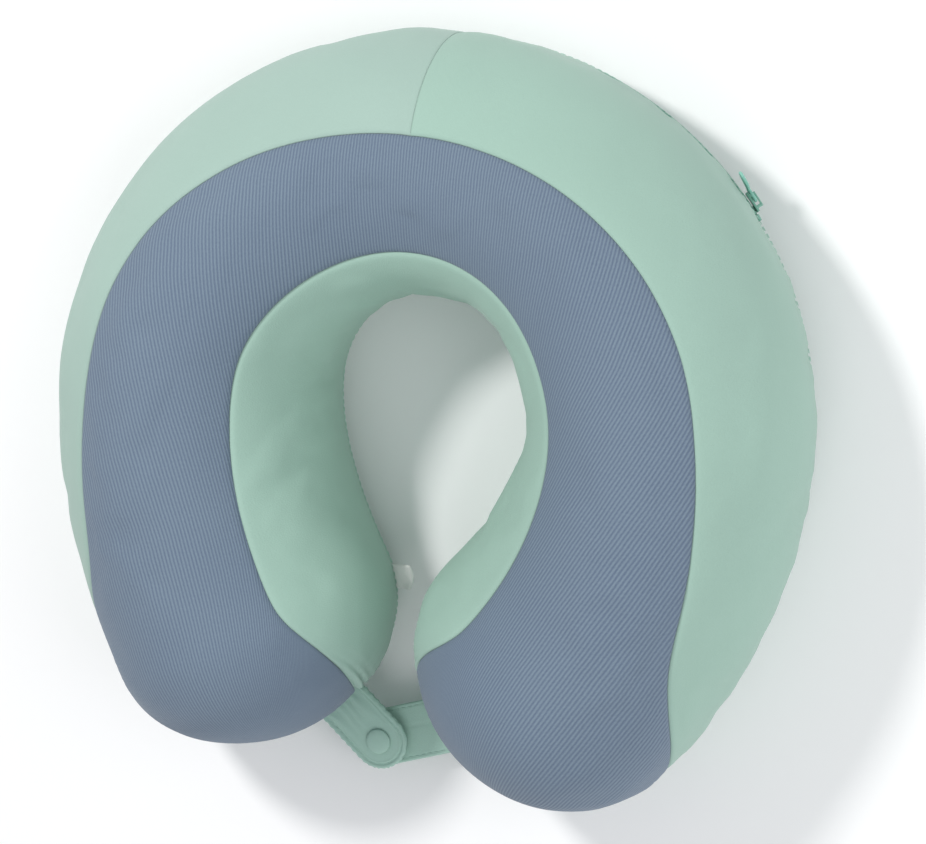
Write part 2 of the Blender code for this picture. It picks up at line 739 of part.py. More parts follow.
def tab_outline(root, way, reach, start, count=10):
    """Plan outline of a tab: square at its root, round about the snap at its far end."""
    across = Vector((-way.y, way.x))
    half = TAB_WIDTH / 2
    points = [root + way * start - across * half, root + way * reach - across * half]
    for index in range(1, count):
        angle = -math.pi / 2 + math.pi * index / count
        points.append(root + way * (reach + half * math.cos(angle)) + across * half * math.sin(angle))
    points += [root + way * reach + across * half, root + way * start + across * half]
    return points


def extrude_outline(name, outline, low, high, look, origin=None):
    mesh = bmesh.new()
    base = mesh.faces.new([mesh.verts.new((spot.x, spot.y, low)) for spot in outline])
    raised = bmesh.ops.extrude_face_region(mesh, geom=[base])["geom"]
    verts = [item for item in raised if isinstance(item, bmesh.types.BMVert)]
    bmesh.ops.translate(mesh, verts=verts, vec=(0, 0, high - low))
    return finish(name, mesh, look, shade_smooth=False, origin=origin)


def make_tab_leaf(name, root, way, reach, turn, low, thickness, pivot):
    """The free part of a tab: layered plan outlines whose hinge edges make a round end about the pivot."""
    mesh = bmesh.new()
    layers = []
    for index in range(TAB_ROUND_STEPS + 1):
        angle = math.pi * (index / TAB_ROUND_STEPS - 0.5)
        start = turn - thickness / 2 * math.cos(angle)
        height = low + thickness / 2 * (1 + math.sin(angle))
        spots = tab_outline(root, way, reach, start)
        layers.append([mesh.verts.new((spot.x, spot.y, height)) for spot in spots])
    mesh.faces.new(layers[0])
    mesh.faces.new(layers[-1])
    for lower, upper in zip(layers, layers[1:]):
        for index in range(len(lower)):
            after = (index + 1) % len(lower)
            mesh.faces.new((lower[index], lower[after], upper[after], upper[index]))
    finish(name, mesh, (MINT, 0.8), shade_smooth=False, origin=pivot)


def tab_parts(name, side, angle, low, thickness):
    """A tab's sewn root, which stays with the cover, and its free part, which swings at the root."""
    root, _ = tab_root(side, angle)
    way = (snap_place() - root).normalized()
    reach = (snap_place() - root).length
    across = Vector((-way.y, way.x))
    lie = []
    for share in (-1, -0.5, 0, 0.5, 1):
        lie.append(tip_gap_point(side, root + across * (share * TAB_WIDTH / 2), way, low, thickness))
    turn = max((spot - root).dot(way) for spot in lie) + TAB_HINGE_DISTANCE
    edge = turn - thickness / 2 - CLEARANCE
    outline = lie + [root + way * edge + across * (sign * TAB_WIDTH / 2) for sign in (1, -1)]
    extrude_outline(name + "_root", outline, low, low + thickness, (MINT, 0.8))
    pivot = Vector((*(root + way * turn), low + thickness / 2))
    make_tab_leaf(name, root, way, reach, turn, low, thickness, pivot)
    return pivot


def tip_gap_point(side, start, way, low, thickness):
    """From a place by the tip, the first one along `way` that clears the cover over the tab's thickness."""
    at = station(side, 1.0)
    spot = start - way * TAB_FIT_START
    while True:
        offset = spot - at.place
        x, y = offset.dot(at.out), offset.dot(at.along) / TIP_ROUNDNESS
        ray = cap_ray(side, math.atan2(y, x))
        reach, _, _, _ = position(ray, level_at(ray, low + thickness))
        if offset.length > reach + CLEARANCE:
            return spot
        spot = spot + way * TAB_FIT_STEP


def add_lathe(mesh, profile, count=16):
    """A closed turned body from (radius, height) points that start and end on the axis or form a ring."""
    rings = []
    for radius, height in profile:
        if radius == 0:
            rings.append([mesh.verts.new((0, 0, height))])
        else:
            rings.append(
                [
                    mesh.verts.new(
                        (
                            radius * math.cos(2 * math.pi * index / count),
                            radius * math.sin(2 * math.pi * index / count),
                            height,
                        )
                    )
                    for index in range(count)
                ]
            )
    pairs = list(zip(rings, rings[1:]))
    if len(rings[0]) > 1:
        pairs.append((rings[-1], rings[0]))
    for one, other in pairs:
        for index in range(count):
            after = (index + 1) % count
            corners = [one[index % len(one)], one[after % len(one)]]
            corners += [other[after % len(other)], other[index % len(other)]]
            unique = list(dict.fromkeys(corners))
            if len(unique) > 2:
                mesh.faces.new(unique)


def make_lathe(name, profile, look, origin):
    mesh = bmesh.new()
    add_lathe(mesh, profile)
    spot = snap_place()
    bmesh.ops.translate(mesh, verts=mesh.verts, vec=(spot.x, spot.y, 0))
    return finish(name, mesh, look, origin=origin)


def make_closure():
    rear_low = REAR_TAB_HEIGHT
    rear_top = rear_low + REAR_TAB_THICKNESS
    flange_low = rear_top + CLEARANCE
    flange_top = flange_low + SNAP_FLANGE
    socket_low = flange_top + CLEARANCE
    socket_top = socket_low + SNAP_SOCKET_HEIGHT
    front_low = socket_top + CLEARANCE
    front_top = front_low + FRONT_TAB_THICKNESS
    front_pivot = tab_parts("closure_tab_front", -1, FRONT_TAB_RAY, front_low, FRONT_TAB_THICKNESS)
    rear_pivot = tab_parts("closure_tab_rear", 1, REAR_TAB_RAY, rear_low, REAR_TAB_THICKNESS)
    cap_low = front_top + CLEARANCE
    cap_top = cap_low + SNAP_CAP_HEIGHT
    radius = SNAP_RADIUS
    cap = [(0, cap_low), (radius, cap_low), (radius, cap_low + SNAP_CAP_RIM)]
    cap += [(radius * SNAP_CAP_CROWN, cap_top - SNAP_CAP_DOME), (0, cap_top)]
    make_lathe("snap_cap", cap, (MINT, 0.7), front_pivot)
    hole = SNAP_STUD_RADIUS + SNAP_PLAY
    socket = [(hole, socket_low), (radius, socket_low)]
    socket += [(radius * SNAP_SOCKET_DRAFT, socket_top), (hole, socket_top)]
    make_lathe("snap_socket", socket, (STEEL, 0.35, 1.0), front_pivot)
    neck = SNAP_STUD_RADIUS
    stud_top = socket_top - CLEARANCE
    stud = [(0, flange_low), (radius, flange_low), (radius, flange_top), (neck * SNAP_STUD_WAIST, flange_top)]
    stud += [(neck, stud_top - SNAP_STUD_TIP), (neck * SNAP_STUD_POINT, stud_top), (0, stud_top)]
    make_lathe("snap_stud", stud, (STEEL, 0.35, 1.0), rear_pivot)
    rivet_top = rear_low - CLEARANCE
    rivet_low = rivet_top - SNAP_RIVET_HEIGHT
    rivet = [(0, rivet_low), (radius * SNAP_RIVET_CROWN, rivet_low + SNAP_RIVET_DOME)]
    rivet += [(radius, rivet_top), (0, rivet_top)]
    make_lathe("snap_rivet", rivet, (STEEL, 0.35, 1.0), rear_pivot)


def make_label():
    """A folded tape that stands out of the inner base seam."""
    ray = cap_ray(-1, math.pi - LABEL_TURN)
    reach, height, _, _ = position(ray, base_level(ray))
    root = ray.crest + ray.out * (reach + LABEL_STAND_OFF)
    across = Vector((-ray.out.y, ray.out.x))
    half = LABEL_WIDTH / 2
    outline = [root - across * half, root + ray.out * LABEL_LENGTH - across * half]
    outline += [root + ray.out * LABEL_LENGTH + across * half, root + across * half]
    low = height - LABEL_THICKNESS / 2
    return extrude_outline("care_label", outline, low, low + LABEL_THICKNESS, (WHITE, 0.7))


# ---------------------------------------------------------------- whole pillow


def centre_model():
    """Moves everything so that the middle of its box is at X = Y = 0 and its base is at Z = 0."""
    corners = []
    for made in bpy.context.scene.objects:
        corners += [made.matrix_world @ vert.co for vert in made.data.vertices]
    middle_x = (min(corner.x for corner in corners) + max(corner.x for corner in corners)) / 2
    middle_y = (min(corner.y for corner in corners) + max(corner.y for corner in corners)) / 2
    for made in bpy.context.scene.objects:
        made.location -= Vector((middle_x, middle_y, 0))


def main():
    for old in list(bpy.data.objects):
        bpy.data.objects.remove(old)
    make_foam()
    make_top_panel()
    make_bottom_panel()
    make_outer_panel("outer_panel_right", 1)
    make_outer_panel("outer_panel_left", -1)
    make_inner_panel()
    make_tape("zip_tape_upper", 1)
    make_tape("zip_tape_lower", -1)
    make_teeth("zip_teeth_upper", 1)
    make_teeth("zip_teeth_lower", -1)
    make_stop("zip_stop_closed_end", ZIP_CLOSED_ANGLE, 1)
    make_stop("zip_stop_open_end", ZIP_OPEN_ANGLE, -1)
    make_slider()
    make_puller()
    make_closure()
    make_label()
    bpy.context.view_layer.update()
    centre_model()


main()
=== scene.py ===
"""Looks of the U-shaped neck pillow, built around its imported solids.

The knit cover is rebuilt panel by panel on the same swept surface as the solids, loosened by a short cloth
simulation between its seams, and finished with grooved seams, topstitching, a coil zip, padded closure tabs,
a snap fastener and a care label.
"""

import json
import math
from collections import namedtuple

import bmesh
import bpy
import numpy as np
from mathutils import Matrix, Vector, kdtree, noise


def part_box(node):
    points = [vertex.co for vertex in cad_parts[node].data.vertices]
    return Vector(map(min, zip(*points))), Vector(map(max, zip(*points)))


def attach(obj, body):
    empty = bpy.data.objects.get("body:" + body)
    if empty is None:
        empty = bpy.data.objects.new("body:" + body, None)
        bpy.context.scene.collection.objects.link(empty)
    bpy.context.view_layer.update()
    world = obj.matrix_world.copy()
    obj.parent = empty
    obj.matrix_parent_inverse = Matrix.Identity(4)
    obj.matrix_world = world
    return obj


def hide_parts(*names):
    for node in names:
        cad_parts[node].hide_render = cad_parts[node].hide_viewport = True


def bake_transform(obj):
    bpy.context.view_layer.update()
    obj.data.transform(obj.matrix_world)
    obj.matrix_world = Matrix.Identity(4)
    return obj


# ---------------------------------------------------------------- sizes shared with the solids, in metres

CENTRE = np.array((0.000314, 0.008277))  # where the axis of the neck opening lies in the row frame
SPINE_RADIUS = 0.095
OUTER_RADIUS = 0.1515
OUTER_CENTRE_OFFSET = 0.0065
INNER_HALF_WIDTH = 0.0525
TIP_HALF_WIDTH = 0.059
ARM_LENGTH = {1: 0.101, -1: 0.106}
ARC = {1: math.radians(94), -1: math.radians(88)}
ARM_BEND = {1: math.radians(35), -1: math.radians(33)}
ARC_BLEND = 0.035
TIP_ROUNDNESS = 0.85
BACK_HEIGHT = 0.088
SIDE_HEIGHT = 0.106
TIP_HEIGHT = 0.100
WIDEST_HEIGHT = 0.036
BASE_EDGE = 0.018
BACK_CREST_SHIFT = 0.006
BASE_SEAM_HEIGHT = 0.016
OUTER_SEAM = (0.007, 0.025, 0.040)
INNER_SEAM = (0.039, 0.0325, 0.034)
OUTER_FALL = (0.80, math.radians(4), 2.4)
INNER_FALL = (0.98, math.radians(72), 2.8)
LEAST_WALL = 0.0006
FALL_CLOSE = math.radians(1.2)
ZIP_CLOSED_ANGLE = math.radians(53)
ZIP_OPEN_ANGLE = math.radians(-46)
ZIP_BAND = 0.0055
ZIP_END_TURN = math.radians(2.2)
STOP_LENGTH = 0.003
CHAIN_THICKNESS = 0.0012
TAB_WIDTH = 0.024

# ---------------------------------------------------------------- sizes of the looks only

SEAM_DEPTH = 0.0009  # how deep a seam lies below the panels beside it
SEAM_WIDTH = 0.0010
BACK_SEAM_SHARE = 0.4
SEAM_ROWS = (0.0, 0.0004, 0.0009, 0.0016, 0.0026, 0.0042)
PANEL_THICKNESS = 0.0011
ROW_SPACING = 0.0026
SIDE_RAYS = 92  # along each half of each side
CAP_RAYS = 52
START_INSET = 0.0008  # the cover starts this far inside its final place and swells outwards
CLOTH_VOXEL = 0.005
CLOTH_FRAMES = 20
CLOTH_PRESSURE = 4.0
MOST_SWELL = 0.0016
MOST_SHRINK = 0.0006
RIB_PITCH = 0.00117  # at the back; the knit is stretched wider along the arms
RIB_STRETCH = 0.125
RIB_TURN_Y = 0.045
RIB_TURN_WIDTH = 0.022
RIB_LEAN = {1: math.tan(math.radians(32)), -1: -math.tan(math.radians(20))}

EASE_SECTIONS = 3  # sections over which the rib knit's edge is rounded
EASE_WALL = 0.07  # walls lower than this keep more of their own edge

THREAD = 0.0004
STITCH_LENGTH = 0.0021
STITCH_PITCH = 0.0031
STITCH_INSET = 0.0019  # from the seam to the topstitching beside it
STITCH_LIFT = 0.0002
TOOTH_PITCH = 0.0012
TOOTH_SIZE = (0.0007, 0.0022, 0.0010)
TOOTH_LEAN = 0.12
CORD_RADIUS = 0.00055  # of the coil cord that carries the teeth
CORD_OFFSET = 0.0016
STOP_PLAY = 0.0003
SLIDER_EDGE = 0.0002
PULLER_EDGE = 0.00035
STRAP_TUCKED = -0.0125  # where a strap ends inside its seam, before the fold line
STRAP_FOLD = 0.0035  # how far along the strap from its fold line, on each side
STRAP_STITCH_LENGTH = 0.0019
STRAP_STITCH_PITCH = 0.0029
LABEL_WIDTH = 0.0098
LABEL_THICKNESS = 0.00018
FOAM_INSET = 0.0042
FLOOR_HALF_WIDTH = 20.0
FLOOR_HEIGHT = -0.0004

Ray = namedtuple("Ray", "crest out reach height drop share side turn")

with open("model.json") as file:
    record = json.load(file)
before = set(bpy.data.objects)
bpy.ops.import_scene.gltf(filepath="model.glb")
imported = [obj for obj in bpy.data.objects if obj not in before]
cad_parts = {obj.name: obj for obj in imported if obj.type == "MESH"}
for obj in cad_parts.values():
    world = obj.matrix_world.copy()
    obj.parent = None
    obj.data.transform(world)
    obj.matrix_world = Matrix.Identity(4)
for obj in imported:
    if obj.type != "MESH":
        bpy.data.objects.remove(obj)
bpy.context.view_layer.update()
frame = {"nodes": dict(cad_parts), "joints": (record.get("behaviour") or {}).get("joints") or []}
joints = {joint["name"]: joint for joint in frame["joints"]}


# ---------------------------------------------------------------- the swept surface


def smooth(value):
    value = min(max(value, 0.0), 1.0)
    return value * value * (3 - 2 * value)


def between(share, sizes):
    back, side, tip = sizes
    if share < 0.5:
        return back + (side - back) * smooth(share / 0.5)
    return side + (tip - side) * smooth((share - 0.5) / 0.5)


def spine(side):
    """Places and headings along one half of the spine, from the back to the arm's end."""
    count = 400
    arc_length = SPINE_RADIUS * ARC[side]
    step = (arc_length + ARM_LENGTH[side]) / count
    x, y, heading = 0.0, SPINE_RADIUS, 0.0
    points = [(x, y, heading)]
    for index in range(count):
        middle = (index + 0.5) * step
        arm = smooth((middle - arc_length + ARC_BLEND) / (2 * ARC_BLEND))
        curvature = (1 - arm) / SPINE_RADIUS + arm * ARM_BEND[side] / ARM_LENGTH[side]
        turned = heading + curvature * step / 2
        x += math.cos(turned) * step
        y -= math.sin(turned) * step
        heading += curvature * step
        points.append((x, y, heading))
    return np.array(points), arc_length + ARM_LENGTH[side]


SPINES = {side: spine(side) for side in (1, -1)}


def station(side, share):
    points, _ = SPINES[side]
    ends = np.arange(len(points)) / (len(points) - 1)
    x, y, heading = (np.interp(share, ends, points[:, column]) for column in range(3))
    along = np.array((math.cos(heading) * side, -math.sin(heading)))
    out = np.array((math.sin(heading) * side, math.cos(heading)))
    return np.array((x * side, y)), along, out


def seam_drop(outer, share, turn, reach, rise):
    """How far below the crest the rib-knit panel ends."""
    start, end, power = OUTER_FALL if outer > 0 else INNER_FALL
    away = between(share, OUTER_SEAM if outer > 0 else INNER_SEAM)
    drop = rise * (1 - math.sqrt(1 - (away / reach) ** 2))
    arm = (1 - start) * (SPINES[1][1] + SPINES[-1][1]) / 2
    passed = max(share - start, 0.0) / (1 - start) * arm + turn * TIP_HALF_WIDTH
    fallen = min(passed / (arm + end * TIP_HALF_WIDTH), 1.0)
    lowest = TIP_HEIGHT - BASE_SEAM_HEIGHT
    if turn > end + FALL_CLOSE / 2:
        return lowest
    return drop + (lowest - LEAST_WALL - drop) * fallen**power


def side_ray(side, share, outer):
    """A ray from the crest line outwards (outer 1) or towards the neck (outer -1)."""
    place, _, out = station(side, share)
    shift = BACK_CREST_SHIFT * (1 - smooth(share / 0.45))
    width = INNER_HALF_WIDTH
    if outer > 0:
        turned = min(share * SPINES[side][1] / SPINE_RADIUS, math.pi / 2)
        across = OUTER_CENTRE_OFFSET * math.sin(turned)
        width = math.sqrt(OUTER_RADIUS**2 - across**2) - OUTER_CENTRE_OFFSET * math.cos(turned) - SPINE_RADIUS
    width += (TIP_HALF_WIDTH - width) * smooth((share - 0.5) / 0.5)
    height = between(share, (BACK_HEIGHT, SIDE_HEIGHT, TIP_HEIGHT))
    reach = width - shift * outer
    drop = seam_drop(outer, share, 0.0, reach, height - WIDEST_HEIGHT)
    return Ray(place + out * shift, out * outer, reach, height, drop, share, side, 0.0)


def cap_ray(side, angle):
    """A ray of the rounded tip: 0 looks to the outer side and pi to the neck side."""
    place, along, out = station(side, 1.0)
    look = out * math.cos(angle) + along * (math.sin(angle) * TIP_ROUNDNESS)
    length = float(np.hypot(*look))
    outer, turn = (1, angle) if angle < math.pi / 2 else (-1, math.pi - angle)
    reach = TIP_HALF_WIDTH * length
    drop = seam_drop(outer, 1.0, turn, reach, TIP_HEIGHT - WIDEST_HEIGHT)
    return Ray(place, look / length, reach, TIP_HEIGHT, drop, 1.0, side, angle)


def position(ray, level):
    """Reach, height and outward normal at levels: -1 base centre, 0 flat edge, 1 widest, 2 crest."""
    level = np.asarray(level, float)
    flat = ray.reach - BASE_EDGE
    rise = ray.height - WIDEST_HEIGHT
    low = (1 - np.clip(level, 0, 1)) * math.pi / 2
    high = (np.clip(level, 1, 2) - 1) * math.pi / 2
    base, edge = level <= 0, level <= 1
    reach = np.where(edge, flat + BASE_EDGE * np.cos(low), ray.reach * np.cos(high))
    reach = np.where(base, flat * (1 + np.clip(level, -1, 0)), reach)
    height = np.where(edge, WIDEST_HEIGHT * (1 - np.sin(low)), WIDEST_HEIGHT + rise * np.sin(high))
    across = np.where(edge, WIDEST_HEIGHT * np.cos(low), rise * np.cos(high))
    up = np.where(edge, -BASE_EDGE * np.sin(low), ray.reach * np.sin(high))
    across, up = np.where(base, 0.0, across), np.where(base, -1.0, up)
    norm = np.hypot(across, up)
    return reach, height, across / norm, up / norm


LEVELS = np.linspace(-1, 2, 481)


class Section:
    """The half section of one ray, measured by the distance along it from the middle of the base."""

    def __init__(self, ray):
        self.ray = ray
        self.reach, self.height, self.across, self.up = position(ray, LEVELS)
        steps = np.hypot(np.diff(self.reach), np.diff(self.height))
        self.run = np.concatenate(([0.0], np.cumsum(steps)))
        self.crest = self.run[-1]
        climbing = LEVELS >= 0
        base, top = BASE_SEAM_HEIGHT, max(ray.height - ray.drop, BASE_SEAM_HEIGHT)
        self.base_seam = np.interp(base, self.height[climbing], self.run[climbing])
        self.top_seam = np.interp(top, self.height[climbing], self.run[climbing])

    def start_run(self):
        return 0.0

    def top_run(self):
        return self.top_seam

    def crest_run(self):
        return self.crest

    def at(self, run):
        """Points and outward normals at distances along the section."""
        reach, height = np.interp(run, self.run, self.reach), np.interp(run, self.run, self.height)
        across, up = np.interp(run, self.run, self.across), np.interp(run, self.run, self.up)
        plan = self.ray.crest + CENTRE + np.outer(reach, self.ray.out)
        outward = np.outer(across, self.ray.out)
        return np.column_stack((plan, height)), np.column_stack((outward, up))

    def flat(self, distance):
        """Where points that far from the crest line (or base line) lie on the flat-cut cloth."""
        return self.ray.crest + np.outer(distance, self.ray.out)


def half_shares(side):
    """Shares along a half spine, close together beside the seam at the back."""
    even = np.linspace(0, 1, SIDE_RAYS)
    near = np.array(SEAM_ROWS) / SPINES[side][1]
    return np.concatenate((near, even[even > near[-1] * 1.4]))


def cap_angles():
    """Turns round a tip, with the two that close the pointed ends of the wall panels."""
    even = list(np.linspace(0, math.pi, CAP_RAYS)[1:-1])
    ends = [OUTER_FALL[1], OUTER_FALL[1] + FALL_CLOSE]
    ends += [math.pi - INNER_FALL[1] - FALL_CLOSE, math.pi - INNER_FALL[1]]
    return sorted([angle for angle in even if min(abs(angle - end) for end in ends) > 0.02] + ends)


def sections(rays):
    return [Section(ray) for ray in rays]


CAPS = {side: sections([cap_ray(side, angle) for angle in cap_angles()]) for side in (1, -1)}
OUTER = {side: sections([side_ray(side, share, 1) for share in half_shares(side)]) for side in (1, -1)}
INNER = {side: sections([side_ray(side, share, -1) for share in half_shares(side)]) for side in (1, -1)}
LOOP = OUTER[-1][:0:-1] + OUTER[1] + CAPS[1] + INNER[1][:0:-1] + INNER[-1] + CAPS[-1][::-1]


def ease_seam():
    """Rounds the turns of the rib knit's sewn edge, except at the pointed ends of the walls."""
    below = np.array([section.crest - section.top_seam for section in LOOP])
    wall = [section.top_seam - section.base_seam for section in LOOP]
    reach = np.arange(-3 * EASE_SECTIONS, 3 * EASE_SECTIONS + 1)
    weights = np.exp(-0.5 * (reach / EASE_SECTIONS) ** 2)
    eased = sum(weight * np.roll(below, shift) for weight, shift in zip(weights, reach)) / weights.sum()
    for section, old, new, height in zip(LOOP, below, eased, wall):
        share = smooth(height / EASE_WALL)
        section.top_seam = section.crest - (old * (1 - share) + new * share)


ease_seam()


def zip_gap(ray):
    """How far the cover stops short of the base seam on both sides, for the zip."""
    if ray.out @ ray.crest < 0 or ray.share > 0.5:
        return 0.0
    end = ray.crest + ray.out * ray.reach
    angle = math.atan2(end[0], end[1] + OUTER_CENTRE_OFFSET)
    inside = min(ZIP_CLOSED_ANGLE - angle, angle - ZIP_OPEN_ANGLE)
    return ZIP_BAND * math.sqrt(smooth(inside / ZIP_END_TURN + 0.2))


# ---------------------------------------------------------------- how the cloth settles


def grid_faces(count, rows, closed=False):
    """Faces of a grid of `count` columns, wound so that they face out of the pillow."""
    columns = np.arange(count if closed else count - 1)
    after = (columns + 1) % count
    low = np.arange(rows - 1)
    a = (columns[:, None] * rows + low).ravel()
    d = (after[:, None] * rows + low).ravel()
    return np.column_stack((a, a + 1, d + 1, d))


def new_mesh(name, points, faces, uv=None, merge=True):
    """A smooth mesh object in the row frame, its doubles merged unless it is already one closed strip."""
    data = bpy.data.meshes.new(name)
    data.from_pydata([tuple(point) for point in points], [], [tuple(int(i) for i in face) for face in faces])
    if uv is not None:
        layer = data.uv_layers.new(name="cloth")
        corners = np.zeros(len(data.loops), int)
        data.loops.foreach_get("vertex_index", corners)
        layer.data.foreach_set("uv", np.asarray(uv, float)[corners].ravel())
    if merge:
        made = bmesh.new()
        made.from_mesh(data)
        bmesh.ops.remove_doubles(made, verts=made.verts, dist=3e-6)
        bmesh.ops.dissolve_degenerate(made, edges=made.edges, dist=1e-6)
        made.to_mesh(data)
        made.free()
    data.shade_smooth()
    piece = bpy.data.objects.new(name, data)
    bpy.context.scene.collection.objects.link(piece)
    return piece


def near_seam(point, seams):
    return seams.find(point)[2]


def swollen_cover():
    """Runs the cloth simulation and returns where it started and how far each of its points moved."""
    rays = LOOP[::4]
    levels = np.linspace(-1, 2, 40)
    rows, pins = [], []
    for section in rays:
        points, normals = section.at(np.interp(levels, LEVELS, section.run))
        rows.append(points - normals * START_INSET)
    skin = new_mesh("cover_form", np.concatenate(rows), grid_faces(len(rays), len(levels), True))
    for section in LOOP:
        marks = [section.base_seam, section.top_seam]
        if section.ray.share == 0 and section.ray.out[1] > 0:
            marks += list(np.linspace(section.base_seam, section.top_seam, 24))
        gap = zip_gap(section.ray)
        marks += [section.base_seam - gap, section.base_seam + gap]
        pins += list(section.at(np.array(marks))[0])
    seams = kdtree.KDTree(len(pins))
    for index, point in enumerate(pins):
        seams.insert(point, index)
    seams.balance()
    remesh = skin.modifiers.new("even_cloth", "REMESH")
    remesh.mode = "VOXEL"
    remesh.voxel_size = CLOTH_VOXEL
    bpy.context.view_layer.update()
    even = bpy.data.meshes.new_from_object(skin.evaluated_get(bpy.context.evaluated_depsgraph_get()))
    skin.modifiers.clear()
    skin.data = even
    start = np.array([vert.co for vert in even.vertices])
    held = skin.vertex_groups.new(name="held")
    for vert in even.vertices:
        distance = near_seam(vert.co, seams)
        flat_base = vert.co.z < 0.004
        held.add([vert.index], 1.0 if flat_base else max(0.0, min(1.0, 1.4 - distance / 0.005)), "REPLACE")
    cloth = skin.modifiers.new("cloth", "CLOTH")
    settings = cloth.settings
    settings.quality = 5
    settings.mass = 0.15
    settings.tension_stiffness = 12
    settings.compression_stiffness = 12
    settings.shear_stiffness = 4
    settings.bending_stiffness = 0.3
    settings.use_pressure = True
    settings.uniform_pressure_force = CLOTH_PRESSURE
    settings.shrink_min = -0.015
    settings.vertex_group_mass = "held"
    settings.effector_weights.gravity = 0
    scene = bpy.context.scene
    for number in range(1, CLOTH_FRAMES + 1):
        scene.frame_set(number)
    moved = bpy.data.meshes.new_from_object(skin.evaluated_get(bpy.context.evaluated_depsgraph_get()))
    travel = np.array([vert.co for vert in moved.vertices]) - start
    scene.frame_set(1)
    for data in (even, moved):
        if data.users == 0:
            bpy.data.meshes.remove(data)
    bpy.data.objects.remove(skin)
    length = np.linalg.norm(travel, axis=1, keepdims=True)
    travel *= np.minimum(1.0, MOST_SWELL / np.maximum(length, 1e-9))
    return start, travel


class Settled:
    """Moves points of the cover to where the cloth comes to rest."""

    def __init__(self):
        self.tree = None
        start, self.travel = swollen_cover()
        self.tree = kdtree.KDTree(len(start))
        for index, point in enumerate(start):
            self.tree.insert(point, index)
        self.tree.balance()

    def swell(self, point):
        if self.tree is None:
            return np.zeros(3)
        total, weight = np.zeros(3), 0.0
        for _, index, distance in self.tree.find_n(point, 8):
            share = math.exp(-((distance / CLOTH_VOXEL) ** 2)) + 1e-9
            total += self.travel[index] * share
            weight += share
        return total / weight

    def __call__(self, points, normals, insets):
        settled = []
        for point, normal, inset in zip(points, normals, insets):
            travel = self.swell(point - normal * START_INSET)
            rise = float(travel @ normal) - START_INSET
            travel = travel - normal * float(travel @ normal)
            rise = max(rise, -MOST_SHRINK) + 0.0005 * noise.noise(Vector(point) * 28.0)
            place = point + travel + normal * (rise - inset)
            place[2] = max(place[2], 0.0)
            settled.append(place)
        return np.array(settled)


settle = Settled()


def seam_inset(distance):
    return SEAM_DEPTH * np.exp(-((distance / SEAM_WIDTH) ** 1.3))


def face_out(piece, section):
    """Turns a panel's faces so that they look out of the pillow."""
    level = 0.5 * (section.base_seam + section.top_seam)
    marks, outwards = section.at(np.array([level]))
    nearest = min(piece.data.polygons, key=lambda face: (face.center - Vector(marks[0])).length)
    if nearest.normal.dot(Vector(outwards[0])) < 0:
        piece.data.flip_normals()


def panel_rows(low, high, count):
    """Distances from a panel's low seam to its high one, close together beside both."""
    near = np.array(SEAM_ROWS)
    span = high - low
    scale = min(1.0, span / (2.6 * near[-1]))
    near = near * scale
    middle = np.linspace(near[-1], span - near[-1], count)
    return low + np.concatenate((near[:-1], middle, span - near[:-1][::-1])), scale


def puckers(section, run, wall):
    """Small gathers that run up from the zip's edge and round the tied-in ends of the neck wall."""
    ray = section.ray
    seam = section.base_seam + zip_gap(ray)
    above = np.maximum(run - seam, 0.0)
    along = ray.share * SPINES[ray.side][1] * 1.5 + ray.turn * 0.05
    if wall == "outer":
        wave = math.sin(along * 330 + 2.1 * math.sin(along * 71)) * math.sin(along * 118 + 1.0)
        size = 0.0011 * smooth((ray.share - 0.04) / 0.1) * (1.0 if ray.side > 0 else 0.6)
        size *= 0.5 if zip_gap(ray) > 0 else 1.0
        return size * wave * np.exp(-above / 0.010) * np.clip(above / 0.0015, 0, 1)
    if wall == "inner" and ray.turn > 0:
        end = smooth((math.pi - ray.turn) / INNER_FALL[1] * 1.6 - 0.5)
        wave = np.sin(run * 900 + ray.turn * 9.0)
        return 0.0011 * end * wave * np.clip(above / 0.002, 0, 1)
    return np.zeros_like(run)


def seam_panel(name, columns, low_of, high_of, wall, closed=False, cut=None):
    """One sewn panel of the cover over the given sections, between two distances along each."""
    spans = [high_of(section) - low_of(section) for section in columns]
    count = max(4, int(max(spans) / ROW_SPACING))
    points, normals, insets, uv = [], [], [], []
    travelled, before = 0.0, None
    for section in columns:
        low, high = low_of(section), high_of(section)
        rows, scale = panel_rows(low, high, count)
        place, outward = section.at(rows)
        if wall == "base":
            inset = seam_inset((high - rows) / scale)
        else:
            inset = seam_inset((rows - low) / max(scale, 0.05))
        if wall in ("outer", "inner"):
            inset = np.maximum(inset, seam_inset((high - rows) / max(scale, 0.05)))
        if wall == "outer":
            from_back = section.ray.share * SPINES[section.ray.side][1] * 1.5
            inset = np.maximum(inset, BACK_SEAM_SHARE * seam_inset(from_back))
        inset = inset - puckers(section, rows, wall)
        middle = place[len(rows) // 2]
        if before is not None:
            travelled += float(np.linalg.norm(middle - before))
        before = middle
        if cut is None:
            uv.append(np.column_stack((np.full(len(rows), travelled), rows)))
        else:
            uv.append(cut(section, rows))
        points.append(place)
        normals.append(outward)
        insets.append(inset)
    rows = len(points[0])
    placed = settle(np.concatenate(points), np.concatenate(normals), np.concatenate(insets))
    piece = new_mesh(name, placed, grid_faces(len(columns), rows, closed), np.concatenate(uv))
    face_out(piece, columns[len(columns) // 2])
    thick = piece.modifiers.new("cloth_thickness", "SOLIDIFY")
    thick.thickness = PANEL_THICKNESS
    thick.offset = -1
    return piece


